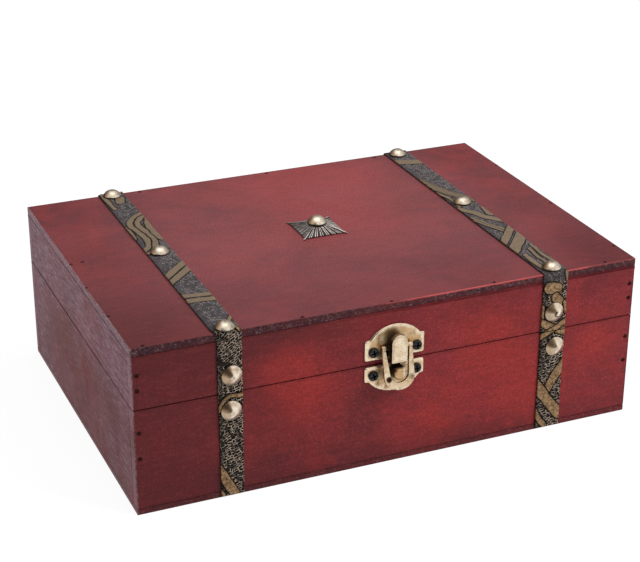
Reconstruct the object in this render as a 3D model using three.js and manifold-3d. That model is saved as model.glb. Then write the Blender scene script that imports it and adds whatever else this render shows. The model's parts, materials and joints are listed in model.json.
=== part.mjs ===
// A small wooden jewelry box in the style of an old travelling trunk.
// Millimetres. X runs along the front, Y towards the back, Z up.
// The origin is the centre of the underside.
import * as THREE from "three";
import { mergeVertices } from "three/addons/utils/BufferGeometryUtils.js";
import Module from "manifold-3d";

const wasm = await Module();
wasm.setup();

// Driving dimensions
const boxWidth = 220;
const boxDepth = 154;
const boxHeight = 72;
const splitHeight = 46;
const wallThickness = 5;
const topThickness = 3.2;
const bottomThickness = 2.6;
const lidOpening = THREE.MathUtils.degToRad(105);

// Clearances
const glueLine = 0.1; // between pieces that are glued or screwed together
const splitGap = 0.4; // between the closed lid and the base
const holeClearance = 0.3; // round a shank in its hole
const pinClearance = 0.1; // round a pin that turns
const overrun = 1; // how far a cut runs past the face it opens

// Where the wood ends
const rightX = boxWidth / 2;
const backY = boxDepth / 2;
const frontY = -backY;
const baseTopZ = splitHeight - splitGap / 2;
const lidBottomZ = splitHeight + splitGap / 2;
const wallBottomZ = bottomThickness + glueLine;
const railTopZ = boxHeight - topThickness - glueLine;

// Materials
const finish = (color, roughness, metalness) =>
  new THREE.MeshStandardMaterial({ color, roughness, metalness });
const redWood = finish(0x7d3034, 0.65, 0);
const strapLeather = finish(0x5a4c3a, 0.55, 0.1);
const antiqueBrass = finish(0xa58a5c, 0.35, 1);
const paleBrass = finish(0xcab096, 0.4, 1);
const darkPewter = finish(0x6b5a52, 0.45, 1);
const blackSteel = finish(0x1d1b1c, 0.4, 0.9);
const nailSteel = finish(0x3a2c28, 0.6, 0.8);

const box = new THREE.Group();

// A closed geometry as a solid that can be joined and cut.
function toSolid(geometry) {
  const bare = geometry.clone();
  bare.deleteAttribute("normal");
  bare.deleteAttribute("uv");
  const merged = mergeVertices(bare);
  return new wasm.Manifold(
    new wasm.Mesh({
      numProp: 3,
      vertProperties: merged.attributes.position.array,
      triVerts: new Uint32Array(merged.index.array),
    }),
  );
}

// A solid back as a geometry that a mesh can hold.
function toGeometry(solid) {
  const mesh = solid.getMesh();
  const geometry = new THREE.BufferGeometry();
  geometry.setAttribute("position", new THREE.BufferAttribute(mesh.vertProperties, mesh.numProp));
  geometry.setIndex(new THREE.BufferAttribute(mesh.triVerts, 1));
  const facets = geometry.toNonIndexed();
  facets.computeVertexNormals();
  return facets;
}

const join = (pieces) => pieces.map(toSolid).reduce((whole, piece) => whole.add(piece));
const cut = (solid, tools) => tools.map(toSolid).reduce((rest, tool) => rest.subtract(tool), solid);

function addPiece(name, geometry, material, x = 0, y = 0, z = 0) {
  const mesh = new THREE.Mesh(geometry, material);
  mesh.name = name;
  mesh.position.set(x, y, z);
  box.add(mesh);
  return mesh;
}

// A block between two corners.
function block(low, high) {
  const size = high.map((end, axis) => end - low[axis]);
  const middle = high.map((end, axis) => (end + low[axis]) / 2);
  return new THREE.BoxGeometry(...size).translate(...middle);
}

// A board with its edges eased, between two corners.
const easedEdge = 0.5;
const cornerShare = 0.4;
function board(low, high) {
  const [width, depth, height] = high.map((end, axis) => end - low[axis]);
  const halfX = width / 2 - easedEdge;
  const halfY = depth / 2 - easedEdge;
  const corner = easedEdge * cornerShare;
  const outline = new THREE.Shape([
    new THREE.Vector2(-halfX, -halfY + corner),
    new THREE.Vector2(-halfX + corner, -halfY),
    new THREE.Vector2(halfX - corner, -halfY),
    new THREE.Vector2(halfX, -halfY + corner),
    new THREE.Vector2(halfX, halfY - corner),
    new THREE.Vector2(halfX - corner, halfY),
    new THREE.Vector2(-halfX + corner, halfY),
    new THREE.Vector2(-halfX, halfY - corner),
  ]);
  const geometry = new THREE.ExtrudeGeometry(outline, {
    depth: height - 2 * easedEdge,
    bevelSize: easedEdge,
    bevelThickness: easedEdge,
    bevelSegments: 1,
  });
  const middle = high.map((end, axis) => (end + low[axis]) / 2);
  return geometry.translate(middle[0], middle[1], low[2] + easedEdge);
}

// A round solid turned from a profile of [radius, height] points, standing along Z.
const roundSides = 16;
const holeSides = 10;
function turned(profile, sides = roundSides) {
  return new THREE.LatheGeometry(profile.map(([r, z]) => new THREE.Vector2(r, z)), sides)
    .rotateX(Math.PI / 2);
}

// A rod along Z from the origin plane at start to end.
const rod = (radius, start, end, sides = roundSides) =>
  turned([[0, start], [radius, start], [radius, end], [0, end]], sides);

// Turns a solid that stands along Z so that its top faces front or back.
const facing = {
  up: (geometry) => geometry,
  front: (geometry) => geometry.rotateX(Math.PI / 2),
  back: (geometry) => geometry.rotateX(-Math.PI / 2),
};

// Studs: domed heads with a short shank
const topStud = { radius: 4.05, height: 2.8 };
const frontStud = { radius: 4.3, height: 2.8 };
const centreStud = { radius: 4.25, height: 3.2 };
const studRim = 0.35;
const studShankRadius = 0.6;
const studShankLength = 3.4;
const studRings = 4;

function stud({ radius, height }, shank = studShankLength) {
  const dome = Array.from({ length: studRings }, (unused, ring) => {
    const angle = (ring / studRings) * (Math.PI / 2);
    return [radius * Math.cos(angle), studRim + (height - studRim) * Math.sin(angle)];
  });
  return turned([
    [0, -shank],
    [studShankRadius, -shank + studShankRadius],
    [studShankRadius, 0],
    [radius, 0],
    ...dome,
    [0, height],
  ]);
}
const studHole = (shank = studShankLength) =>
  rod(studShankRadius + holeClearance, -shank - holeClearance, overrun, holeSides);

// Straps: bands of thin leather over the lid and down the base, front and back
const strapWidth = 11.5;
const strapThickness = 1;
const strapInset = 38.5; // from the side of the box to the strap's middle
const strapBend = 0.6; // inner radius where the strap folds over an edge
const strapBendSteps = 4;
const strapX = rightX - strapInset;
const strapStudInset = 5; // from the back edge of the lid to the back stud
const foldStudInset = 3.4; // from the front edge of the lid to the stud at the fold
const middleStudY = 3.2;
const lidStudRise = 9; // from the split up to the stud on the lid's front
const baseStudDrop = 6.4; // from the split down to the stud on the base's front
const strapFoot = 0.8; // from the underside of the box up to the end of the strap
const strapTopZ = boxHeight + glueLine + strapThickness;
const strapFrontY = frontY - glueLine - strapThickness;

const strapStuds = [
  { name: "lid_top_back", y: backY - strapStudInset, z: strapTopZ, side: "up" },
  { name: "lid_top_middle", y: middleStudY, z: strapTopZ, side: "up" },
  { name: "lid_top_fold", y: frontY + foldStudInset, z: strapTopZ, side: "up" },
  { name: "lid_front", y: strapFrontY, z: splitHeight + lidStudRise, side: "front" },
  { name: "base_front", y: strapFrontY, z: splitHeight - baseStudDrop, side: "front" },
];

// The studs are driven by hand: how far each is off its place, across the strap and along it.
const studDrift = {
  left: {
    lid_top_back: [-0.3, 0.7],
    lid_top_middle: [-0.5, 0],
    lid_top_fold: [0, -1],
    lid_front: [1.1, -1],
    base_front: [0.6, -0.8],
  },
  right: {
    lid_top_back: [-0.8, 0],
    lid_top_middle: [-0.8, 1.2],
    lid_top_fold: [-0.1, -0.3],
    lid_front: [-0.2, -0.2],
    base_front: [1.1, -0.8],
  },
};

const spotsOn = (side) =>
  strapStuds.map((spot) => {
    const [across, along] = studDrift[side.name][spot.name];
    return spot.side === "up"
      ? { ...spot, across, y: spot.y + along }
      : { ...spot, across, z: spot.z + along };
  });

// A band that goes up the front of the lid, over the top and down the back.
function lidStrap() {
  const innerY = backY + glueLine;
  const innerZ = boxHeight + glueLine;
  const outer = strapBend + strapThickness;
  const outline = new THREE.Shape();
  outline.moveTo(-innerY - strapThickness, lidBottomZ);
  outline.absarc(-innerY + strapBend, innerZ - strapBend, outer, Math.PI, Math.PI / 2, true);
  outline.absarc(innerY - strapBend, innerZ - strapBend, outer, Math.PI / 2, 0, true);
  outline.lineTo(innerY + strapThickness, lidBottomZ);
  outline.lineTo(innerY, lidBottomZ);
  outline.absarc(innerY - strapBend, innerZ - strapBend, strapBend, 0, Math.PI / 2, false);
  outline.absarc(-innerY + strapBend, innerZ - strapBend, strapBend, Math.PI / 2, Math.PI, false);
  outline.lineTo(-innerY, lidBottomZ);
  const band = new THREE.ExtrudeGeometry(outline, {
    depth: strapWidth,
    bevelEnabled: false,
    curveSegments: strapBendSteps,
  });
  // The outline's first axis is Y and its second is Z, so the band is extruded along X.
  return band.rotateX(Math.PI / 2).rotateZ(Math.PI / 2).translate(-strapWidth / 2, 0, 0);
}

const studHoleAt = (spot, x) =>
  facing[spot.side](studHole(spot.shank)).translate(x, spot.y, spot.z);
const sides = [
  { name: "left", sign: -1 },
  { name: "right", sign: 1 },
];

for (const side of sides) {
  const x = side.sign * strapX;
  const spots = spotsOn(side);
  const lidSpots = spots.filter((spot) => spot.name.startsWith("lid"));
  const baseSpots = spots.filter((spot) => spot.name.startsWith("base"));
  const overLid = cut(toSolid(lidStrap()), lidSpots.map((spot) => studHoleAt(spot, spot.across)));
  addPiece(`lid_strap_${side.name}`, toGeometry(overLid), strapLeather, x);
  const halfWidth = strapWidth / 2;
  const frontBand = block(
    [-halfWidth, strapFrontY, strapFoot],
    [halfWidth, strapFrontY + strapThickness, baseTopZ],
  );
  const baseHoles = baseSpots.map((spot) => studHoleAt(spot, spot.across));
  const downFront = cut(toSolid(frontBand), baseHoles);
  addPiece(`base_front_strap_${side.name}`, toGeometry(downFront), strapLeather, x);
  const backBand = block(
    [-halfWidth, -strapFrontY - strapThickness, strapFoot],
    [halfWidth, -strapFrontY, baseTopZ],
  );
  addPiece(`base_back_strap_${side.name}`, backBand, strapLeather, x);
  for (const spot of spots) {
    const head = facing[spot.side](stud(spot.side === "up" ? topStud : frontStud));
    const studName = `${spot.name}_stud_${side.name}`;
    addPiece(studName, head, antiqueBrass, x + spot.across, spot.y, spot.z);
  }
}

// Ornament: a square rosette, pressed with flutes that run out to a scalloped edge
const ornamentHalf = 9.6;
const ornamentX = -0.4;
const ornamentY = 3.7;
const ornamentEdge = 0.5; // thickness at the edge
const ornamentRise = 2.9; // height of the seat under its stud
const ornamentBite = 2; // how far its stud goes into the lid
const ornamentSeat = 3.9; // radius of the seat
const fluteDepth = 0.45;
const scallopDepth = 0.35;
const cornerReach = 0.9; // how far the corners stand out past the square
const flutesPerSide = 7;
const stepsPerFlute = 2; // one ridge and one valley
const ornamentRingShares = [0, 0.35, 0.7, 1];

function rosette() {
  const perSide = flutesPerSide * stepsPerFlute;
  const around = 4 * perSide;
  const top = [];
  const bottom = [];
  for (let i = 0; i < around; i++) {
    const side = Math.floor(i / perSide);
    const along = ((i % perSide) / perSide) * 2 - 1;
    const wave = Math.cos(along * Math.PI * flutesPerSide);
    const turn = (side * Math.PI) / 2;
    const cornerPull = cornerReach * Math.abs(along) ** 12;
    const reach = ornamentHalf + cornerPull - (scallopDepth * (1 + wave)) / 2;
    const edge = new THREE.Vector2(reach, along * (ornamentHalf + cornerPull));
    edge.rotateAround(new THREE.Vector2(), turn);
    const seat = edge.clone().setLength(ornamentSeat);
    const ring = ornamentRingShares.map((share) => {
      const spot = seat.clone().lerp(edge, share);
      const slope = ornamentRise + (ornamentEdge - ornamentRise) * share;
      const flute = (fluteDepth * share * (1 - share / 2) * (1 - wave)) / 2;
      return [spot.x, spot.y, slope + flute];
    });
    top.push(ring);
    bottom.push([edge.x, edge.y, 0]);
  }
  const points = [];
  const faces = [];
  const last = ornamentRingShares.length - 1;
  const columns = top.map((ring, i) => [...ring, bottom[i]]);
  columns.forEach((column) => column.forEach((point) => points.push(...point)));
  const rows = last + 2;
  for (let i = 0; i < around; i++) {
    const next = (i + 1) % around;
    for (let row = 0; row < rows - 1; row++) {
      const a = i * rows + row;
      const b = next * rows + row;
      faces.push(a, a + 1, b, b, a + 1, b + 1);
    }
  }
  const topCentre = points.length / 3;
  points.push(0, 0, ornamentRise, 0, 0, 0);
  for (let i = 0; i < around; i++) {
    const next = (i + 1) % around;
    faces.push(topCentre, i * rows, next * rows);
    faces.push(topCentre + 1, next * rows + rows - 1, i * rows + rows - 1);
  }
  const geometry = new THREE.BufferGeometry();
  geometry.setAttribute("position", new THREE.Float32BufferAttribute(points, 3));
  geometry.setIndex(faces);
  return geometry;
}

const ornamentZ = boxHeight + glueLine;
const ornamentShank = ornamentRise + glueLine + ornamentBite;
const ornamentStud = {
  y: ornamentY,
  z: ornamentZ + ornamentRise,
  side: "up",
  shank: ornamentShank,
};
const rosetteHole = studHole(ornamentShank).translate(0, 0, ornamentRise);
const rosetteCut = cut(toSolid(rosette()), [rosetteHole]);
addPiece("ornament_plate", toGeometry(rosetteCut), darkPewter, ornamentX, ornamentY, ornamentZ);
const ornamentHead = stud(centreStud, ornamentShank);
addPiece("ornament_stud", ornamentHead, antiqueBrass, ornamentX, ornamentStud.y, ornamentStud.z);

// Screws: round black heads with a cross recess
const screwHeadRadius = 2.15;
const screwHeadHeight = 1.3;
const screwShankRadius = 0.8;
const screwLength = 4.2;
const screwSlotWidth = 0.5;
const screwSlotShare = 0.62; // length of the recess against the head's width
const screwSlotDepth = 0.8;
const screwSides = 12;

function screw(radius, height) {
  const crown = [1, 2].map((step) => {
    const angle = (step / 3) * (Math.PI / 2);
    return [radius * Math.cos(angle), height * (cornerShare + (1 - cornerShare) * Math.sin(angle))];
  });
  const body = turned([
    [0, -screwLength],
    [screwShankRadius, -screwLength + screwShankRadius],
    [screwShankRadius, 0],
    [radius, 0],
    [radius, height * cornerShare],
    ...crown,
    [0, height],
  ], screwSides);
  const long = radius * screwSlotShare;
  const short = screwSlotWidth / 2;
  const floor = height - screwSlotDepth;
  const recess = [
    block([-long, -short, floor], [long, short, height + overrun]),
    block([-short, -long, floor], [short, long, height + overrun]),
  ];
  return toGeometry(cut(toSolid(body), recess));
}
const screwHole = () =>
  rod(screwShankRadius + holeClearance, -screwLength - holeClearance, overrun, holeSides);

// Latch plates: a plate with two ears and an arch, one on the lid and one on the base
const latchX = -1;
const plateThickness = 0.8;
const plateHalfWidth = 13.1;
const plateArchRadius = 14.2;
const latchScrewX = 9.5;
const catchRise = 2; // from the split up to the catch plate
const catchEar = 9.3; // height of the catch plate's ears
const catchArchRise = 0.5; // from the plate's straight edge to the arch's centre
const catchScrewRise = 3.8; // from the plate's straight edge to its screws
const keeperDrop = 0.6; // from the split down to the keeper plate
const keeperEar = 7;
const keeperArchRise = -1.8;
const keeperScrewDrop = 3.9;
const catchBottomZ = splitHeight + catchRise;
const catchScrewZ = catchBottomZ + catchScrewRise;
const keeperTopZ = splitHeight - keeperDrop;
const keeperScrewZ = keeperTopZ - keeperScrewDrop;
const archSteps = 14;
const plateBackY = frontY - glueLine;
const plateFrontY = plateBackY - plateThickness;

// The plate's outline, with its straight edge at z = 0 and its arch above it.
function earedPlate(earHeight, archRise) {
  const earAngle = Math.asin((earHeight - archRise) / plateArchRadius);
  const outline = new THREE.Shape();
  outline.moveTo(-plateHalfWidth, 0);
  outline.lineTo(plateHalfWidth, 0);
  outline.lineTo(plateHalfWidth, earHeight);
  outline.absarc(0, archRise, plateArchRadius, earAngle, Math.PI - earAngle, false);
  outline.lineTo(-plateHalfWidth, earHeight);
  return new THREE.ExtrudeGeometry(outline, {
    depth: plateThickness,
    bevelEnabled: false,
    curveSegments: archSteps,
  }).rotateX(Math.PI / 2);
}

// A round-ended tongue seen from the front, standing from z = 0 up, between two depths.
const tongueBevel = 0.45;
function tongue(halfWidth, height, backDepth, frontDepth) {
  const half = halfWidth - tongueBevel;
  const outline = new THREE.Shape();
  outline.moveTo(-half, tongueBevel);
  outline.lineTo(half, tongueBevel);
  outline.absarc(0, height - halfWidth, half, 0, Math.PI, false);
  return new THREE.ExtrudeGeometry(outline, {
    depth: frontDepth - backDepth - 2 * tongueBevel,
    bevelSize: tongueBevel,
    bevelThickness: tongueBevel,
    bevelSegments: 1,
    curveSegments: archSteps,
  })
    .rotateX(Math.PI / 2)
    .translate(0, frontY - backDepth - tongueBevel, 0);
}

// The hasp turns on its cross bar, in the trough behind the catch plate's hook
const haspPivotRise = 7.4; // from the split
const haspPivotZ = splitHeight + haspPivotRise;
const haspPivotDepth = 2.2; // from the wood to the middle of the bar
const haspLean = THREE.MathUtils.degToRad(14);
const haspBarRadius = 0.95;
const haspEyeRadius = 1.15;
const haspThickness = 1.3;
const haspHalfWidth = 6.7;
const haspTopInner = 5.1;
const haspBottomInner = 4;
const haspPlay = 0.2; // round the bar in its trough
const hookHalfWidth = 3.45;
const hookTop = 12.6; // height of the hook above the plate's bottom edge
const hookFrontDepth = 5.5;
const troughFloorZ = haspPivotZ - haspBarRadius - haspPlay;
const troughFrontDepth = haspPivotDepth + haspBarRadius + haspPlay;

// The keeper's lip comes out over the split and turns down in front of the base
const lipHalfWidth = 2.8;
const lipDrop = 0.4; // from the split down to the lip's top
const lipLength = 5.9;
const lipTopZ = splitHeight - lipDrop;
const lipTipZ = lipTopZ - lipLength;
const lipBackDepth = 5.1;
const lipFrontDepth = 6.3;
const lipWeb = 1.1;
const latchGap = 0.5; // below the lip's tip, before the hasp takes the load

const depthToY = (depth) => frontY - depth;

function screwHolesAt(height) {
  return [-latchScrewX, latchScrewX].map((x) =>
    facing.front(screwHole()).translate(x, plateFrontY, height),
  );
}

function catchPlate() {
  const plate = earedPlate(catchEar, catchArchRise).translate(0, plateBackY, catchBottomZ);
  const hook = tongue(hookHalfWidth, hookTop, troughFrontDepth, hookFrontDepth)
    .translate(0, 0, catchBottomZ);
  const halfWeb = hookHalfWidth - tongueBevel;
  const web = block(
    [-halfWeb, depthToY(troughFrontDepth + tongueBevel), catchBottomZ + tongueBevel],
    [halfWeb, depthToY(plateThickness / 2), troughFloorZ],
  );
  return toGeometry(cut(join([plate, hook, web]), screwHolesAt(catchScrewZ)));
}

function keeperPlate() {
  const plate = earedPlate(keeperEar, keeperArchRise)
    .rotateY(Math.PI)
    .translate(0, plateBackY, keeperTopZ);
  const lip = tongue(lipHalfWidth, lipLength, lipBackDepth, lipFrontDepth)
    .rotateY(Math.PI)
    .translate(0, 0, lipTopZ);
  const halfWeb = lipHalfWidth - tongueBevel;
  const web = block(
    [-halfWeb, depthToY(lipBackDepth + tongueBevel), lipTopZ - tongueBevel - lipWeb],
    [halfWeb, depthToY(plateThickness / 2), lipTopZ - tongueBevel],
  );
  return toGeometry(cut(join([plate, lip, web]), screwHolesAt(keeperScrewZ)));
}

addPiece("latch_catch_plate", catchPlate(), paleBrass, latchX);
addPiece("latch_keeper_plate", keeperPlate(), paleBrass, latchX);

// The hasp in its own frame: the bar at the origin, its frame hanging down.
const haspBottomDrop = 9.9; // from the split down to the tip of the thumb tab
const haspBottomZ = splitHeight - haspBottomDrop;
const haspLength = (haspPivotZ - haspBottomZ) / Math.cos(haspLean);
const haspWindow = (haspPivotZ - lipTipZ + latchGap) / Math.cos(haspLean);
const haspEllipse = 5.6; // height of the rounded thumb tab's curve

function hasp() {
  const frame = new THREE.Shape();
  frame.moveTo(haspHalfWidth, 0);
  frame.lineTo(haspTopInner, 0);
  frame.lineTo(haspBottomInner, -haspWindow + haspBottomInner);
  frame.absarc(0, -haspWindow + haspBottomInner, haspBottomInner, 0, -Math.PI, true);
  frame.lineTo(-haspTopInner, 0);
  frame.lineTo(-haspHalfWidth, 0);
  frame.absellipse(0, -haspLength + haspEllipse, haspHalfWidth, haspEllipse, Math.PI, 2 * Math.PI, false, 0);
  const loop = new THREE.ExtrudeGeometry(frame, {
    depth: haspThickness,
    bevelEnabled: false,
    curveSegments: archSteps,
  })
    .rotateX(Math.PI / 2)
    .translate(0, haspThickness / 2, 0);
  const bar = rod(haspBarRadius, -haspHalfWidth, haspHalfWidth).rotateY(Math.PI / 2);
  const eyes = [-1, 1].map((sign) =>
    rod(haspEyeRadius, haspTopInner, haspHalfWidth).rotateY((sign * Math.PI) / 2),
  );
  return toGeometry(join([loop, bar, ...eyes]));
}

const haspMesh = addPiece(
  "latch_hasp",
  hasp(),
  paleBrass,
  latchX,
  depthToY(haspPivotDepth),
  haspPivotZ,
);
haspMesh.rotation.x = -haspLean;

for (const side of sides) {
  for (const [piece, height] of [["catch", catchScrewZ], ["keeper", keeperScrewZ]]) {
    const head = facing.front(screw(screwHeadRadius, screwHeadHeight));
    const x = latchX + side.sign * latchScrewX;
    addPiece(`${piece}_screw_${side.name}`, head, blackSteel, x, plateFrontY, height);
  }
}

// Hinges: two leaves round a pin, with stop lips that meet when the lid is open
const hingeInset = 26.5; // from a strap's middle in to the hinge's middle
const hingeX = strapX - hingeInset;
const leafWidth = 18;
const leafHeight = 13;
const leafThickness = 0.8;
const knuckleRadius = 1.6;
const knuckleGap = 0.3;
const knuckleShare = 0.36; // of the leaf's width, for the lid's middle knuckle
const hingePinRadius = 0.7;
const stopReach = 2.4; // of the lips, past the pin
const stopWidth = 9;
const stopThickness = 0.8;
const stopMargin = THREE.MathUtils.degToRad(1); // the lips stop just short of touching
const hingeScrewX = 5.6;
const hingeScrewDrop = 8.6; // from the pin to the screws
const hingeScrewRadius = 1.6;
const hingeScrewHeight = 1;
const hingeY = backY + glueLine + knuckleRadius + knuckleGap;
const leafBackY = backY + glueLine;
const leafFrontY = leafBackY + leafThickness;
const stopDrop = stopReach * Math.tan((lidOpening + stopMargin) / 2);
const halfMiddle = (leafWidth * knuckleShare) / 2;

// A knuckle from one end to the other, with the neck that joins it to its leaf below.
function knuckle(start, end) {
  return [
    rod(knuckleRadius, start, end).rotateY(Math.PI / 2).translate(0, hingeY, splitHeight),
    block(
      [start, leafBackY, splitHeight - knuckleRadius - 2 * knuckleGap],
      [end, leafFrontY, splitHeight],
    ),
  ];
}

// One leaf as it hangs below the pin; the lid's leaf is the same turned upwards.
function leaf(knuckleSpans, pointsUp) {
  const half = leafWidth / 2;
  const top = splitHeight - knuckleRadius - knuckleGap;
  const plate = block([-half, leafBackY, splitHeight - leafHeight], [half, leafFrontY, top]);
  const lip = block(
    [-stopWidth / 2, leafBackY, splitHeight - stopDrop - stopThickness],
    [stopWidth / 2, hingeY + stopReach, splitHeight - stopDrop],
  );
  const knuckles = knuckleSpans.flatMap(([start, end]) => knuckle(start, end));
  const bore = rod(hingePinRadius + pinClearance, -half - overrun, half + overrun)
    .rotateY(Math.PI / 2)
    .translate(0, hingeY, splitHeight);
  const holes = [-hingeScrewX, hingeScrewX].map((x) =>
    facing.back(screwHole()).translate(x, leafFrontY, splitHeight - hingeScrewDrop),
  );
  const geometry = toGeometry(cut(join([plate, lip, ...knuckles]), [bore, ...holes]));
  if (pointsUp) {
    geometry.translate(0, -hingeY, -splitHeight).rotateY(Math.PI).translate(0, hingeY, splitHeight);
  }
  return geometry;
}

for (const side of sides) {
  const x = side.sign * hingeX;
  const half = leafWidth / 2;
  const outerSpans = [
    [-half, -halfMiddle - knuckleGap],
    [halfMiddle + knuckleGap, half],
  ];
  const middleSpan = [[-halfMiddle, halfMiddle]];
  addPiece(`hinge_base_leaf_${side.name}`, leaf(outerSpans, false), antiqueBrass, x);
  addPiece(`hinge_lid_leaf_${side.name}`, leaf(middleSpan, true), antiqueBrass, x);
  const pin = rod(hingePinRadius, -half, half).rotateY(Math.PI / 2);
  addPiece(`hinge_pin_${side.name}`, pin, antiqueBrass, x, hingeY, splitHeight);
  for (const [part, direction] of [["base", -1], ["lid", 1]]) {
    for (const [place, offset] of [["a", -hingeScrewX], ["b", hingeScrewX]]) {
      const head = facing.back(screw(hingeScrewRadius, hingeScrewHeight));
      const height = splitHeight + direction * hingeScrewDrop;
      const name = `hinge_${part}_screw_${side.name}_${place}`;
      addPiece(name, head, antiqueBrass, x + offset, leafFrontY, height);
    }
  }
}

// Corner nails: driven through the front boards into the ends of the side boards
const nailHeadRadius = 1;
const nailHeadDepth = 0.6;
const nailShankRadius = 0.6;
const nailLength = 12;
const nailInset = 2; // from the side of the box
const nailPlay = 0.2;
const nailHeightShares = {
  lid: { lower: 0.35, upper: 0.64 },
  base: { lower: 0.51, upper: 0.77 },
};
const wallSpan = {
  lid: [lidBottomZ, railTopZ],
  base: [wallBottomZ, baseTopZ],
};
const nailX = rightX - nailInset;

function nail(play, top) {
  const points = [
    [0, -nailLength - play],
    [nailShankRadius + play, -nailLength + nailShankRadius - play],
    [nailShankRadius + play, -nailHeadDepth - play],
    [nailHeadRadius + play, -nailHeadDepth - play],
    [nailHeadRadius + play, top],
    [0, top],
  ];
  return facing.front(turned(points, holeSides));
}

const nailHeight = (part, place) =>
  THREE.MathUtils.lerp(...wallSpan[part], nailHeightShares[part][place]);

function nailHoles(part) {
  return sides.flatMap((side) =>
    Object.keys(nailHeightShares[part]).map((place) =>
      nail(nailPlay, overrun).translate(side.sign * nailX, frontY, nailHeight(part, place)),
    ),
  );
}

for (const side of sides) {
  for (const part of ["lid", "base"]) {
    for (const place of ["lower", "upper"]) {
      const name = `${part}_nail_${side.name}_${place}`;
      addPiece(name, nail(0, 0), nailSteel, side.sign * nailX, frontY, nailHeight(part, place));
    }
  }
}

// Boards: four walls between two heights, with the front and back over the ends of the sides
function walls(part, word, holes) {
  const [bottomZ, topZ] = wallSpan[part];
  const innerX = rightX - wallThickness;
  const innerY = backY - wallThickness;
  const sideEndY = innerY - glueLine;
  const corners = {
    front: [[-rightX, frontY, bottomZ], [rightX, -innerY, topZ]],
    back: [[-rightX, innerY, bottomZ], [rightX, backY, topZ]],
    left: [[-rightX, -sideEndY, bottomZ], [-innerX, sideEndY, topZ]],
    right: [[innerX, -sideEndY, bottomZ], [rightX, sideEndY, topZ]],
  };
  for (const [place, [low, high]] of Object.entries(corners)) {
    const wall = cut(toSolid(board(low, high)), holes[place]);
    addPiece(`${part}_${place}_${word}`, toGeometry(wall), redWood);
  }
}

const studHolesIn = (part, face) =>
  sides.flatMap((side) =>
    spotsOn(side)
      .filter((spot) => spot.name.startsWith(part) && spot.side === face)
      .map((spot) => studHoleAt(spot, side.sign * strapX + spot.across)),
  );

const latchHoles = (height) => screwHolesAt(height).map((hole) => hole.translate(latchX, 0, 0));

const hingeHoles = (direction) =>
  sides.flatMap((side) =>
    [-hingeScrewX, hingeScrewX].map((offset) =>
      facing
        .back(screwHole())
        .translate(side.sign * hingeX + offset, leafFrontY, splitHeight + direction * hingeScrewDrop),
    ),
  );

walls("base", "panel", {
  front: [...studHolesIn("base", "front"), ...latchHoles(keeperScrewZ), ...nailHoles("base")],
  back: hingeHoles(-1),
  left: nailHoles("base"),
  right: nailHoles("base"),
});
walls("lid", "rail", {
  front: [...studHolesIn("lid", "front"), ...latchHoles(catchScrewZ), ...nailHoles("lid")],
  back: hingeHoles(1),
  left: nailHoles("lid"),
  right: nailHoles("lid"),
});

const bottomBoard = board([-rightX, frontY, 0], [rightX, backY, bottomThickness]);
addPiece("base_bottom_panel", bottomBoard, redWood);
const topBoard = board([-rightX, frontY, boxHeight - topThickness], [rightX, backY, boxHeight]);
const topHoles = [...studHolesIn("lid", "up"), studHoleAt(ornamentStud, ornamentX)];
addPiece("lid_top_panel", toGeometry(cut(toSolid(topBoard), topHoles)), redWood);

export default box;
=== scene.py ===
import itertools
import json
import math

import bmesh
import bpy
import numpy as np
from mathutils import Matrix, Vector

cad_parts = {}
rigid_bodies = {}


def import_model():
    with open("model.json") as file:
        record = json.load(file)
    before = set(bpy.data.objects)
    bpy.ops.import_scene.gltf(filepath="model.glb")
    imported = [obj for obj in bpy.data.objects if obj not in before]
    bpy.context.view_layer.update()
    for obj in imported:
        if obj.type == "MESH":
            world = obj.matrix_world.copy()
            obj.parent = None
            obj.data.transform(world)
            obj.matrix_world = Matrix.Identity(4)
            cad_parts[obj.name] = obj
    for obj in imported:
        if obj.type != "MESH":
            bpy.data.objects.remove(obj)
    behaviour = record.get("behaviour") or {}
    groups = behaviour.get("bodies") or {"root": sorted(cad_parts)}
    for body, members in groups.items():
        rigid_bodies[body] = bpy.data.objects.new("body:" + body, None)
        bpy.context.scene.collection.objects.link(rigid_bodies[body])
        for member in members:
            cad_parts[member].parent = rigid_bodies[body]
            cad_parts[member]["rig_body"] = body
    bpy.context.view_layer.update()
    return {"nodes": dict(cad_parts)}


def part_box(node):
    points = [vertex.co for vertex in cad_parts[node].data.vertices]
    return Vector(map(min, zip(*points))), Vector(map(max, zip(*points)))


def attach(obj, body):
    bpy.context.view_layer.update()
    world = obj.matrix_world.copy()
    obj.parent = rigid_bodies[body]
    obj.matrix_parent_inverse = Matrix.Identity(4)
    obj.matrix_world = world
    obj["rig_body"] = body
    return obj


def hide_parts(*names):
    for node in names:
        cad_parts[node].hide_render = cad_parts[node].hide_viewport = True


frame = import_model()
mm = 0.001
print("frame: loaded", len(frame["nodes"]), "nodes")

# The camera, solved from the corners of the box in the picture
view = {
    "lens": 95.29,
    "place": (-0.265455, -0.620972, 0.355593),
    "right": (0.92016695, -0.39151851, 0.00245791),
    "up": (0.15997944, 0.38170686, 0.91033315),
}


def placeCamera():
    camera = bpy.data.objects.new("camera", bpy.data.cameras.new("camera"))
    bpy.context.scene.collection.objects.link(camera)
    right = Vector(view["right"]).normalized()
    up = Vector(view["up"]).normalized()
    turn = Matrix((right, up, right.cross(up))).transposed().to_4x4()
    camera.matrix_world = Matrix.Translation(view["place"]) @ turn
    camera.data.lens = view["lens"]
    camera.data.sensor_width = 36
    camera.data.clip_start = 0.01
    bpy.context.scene.camera = camera


placeCamera()
print("camera: placed")


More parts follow.
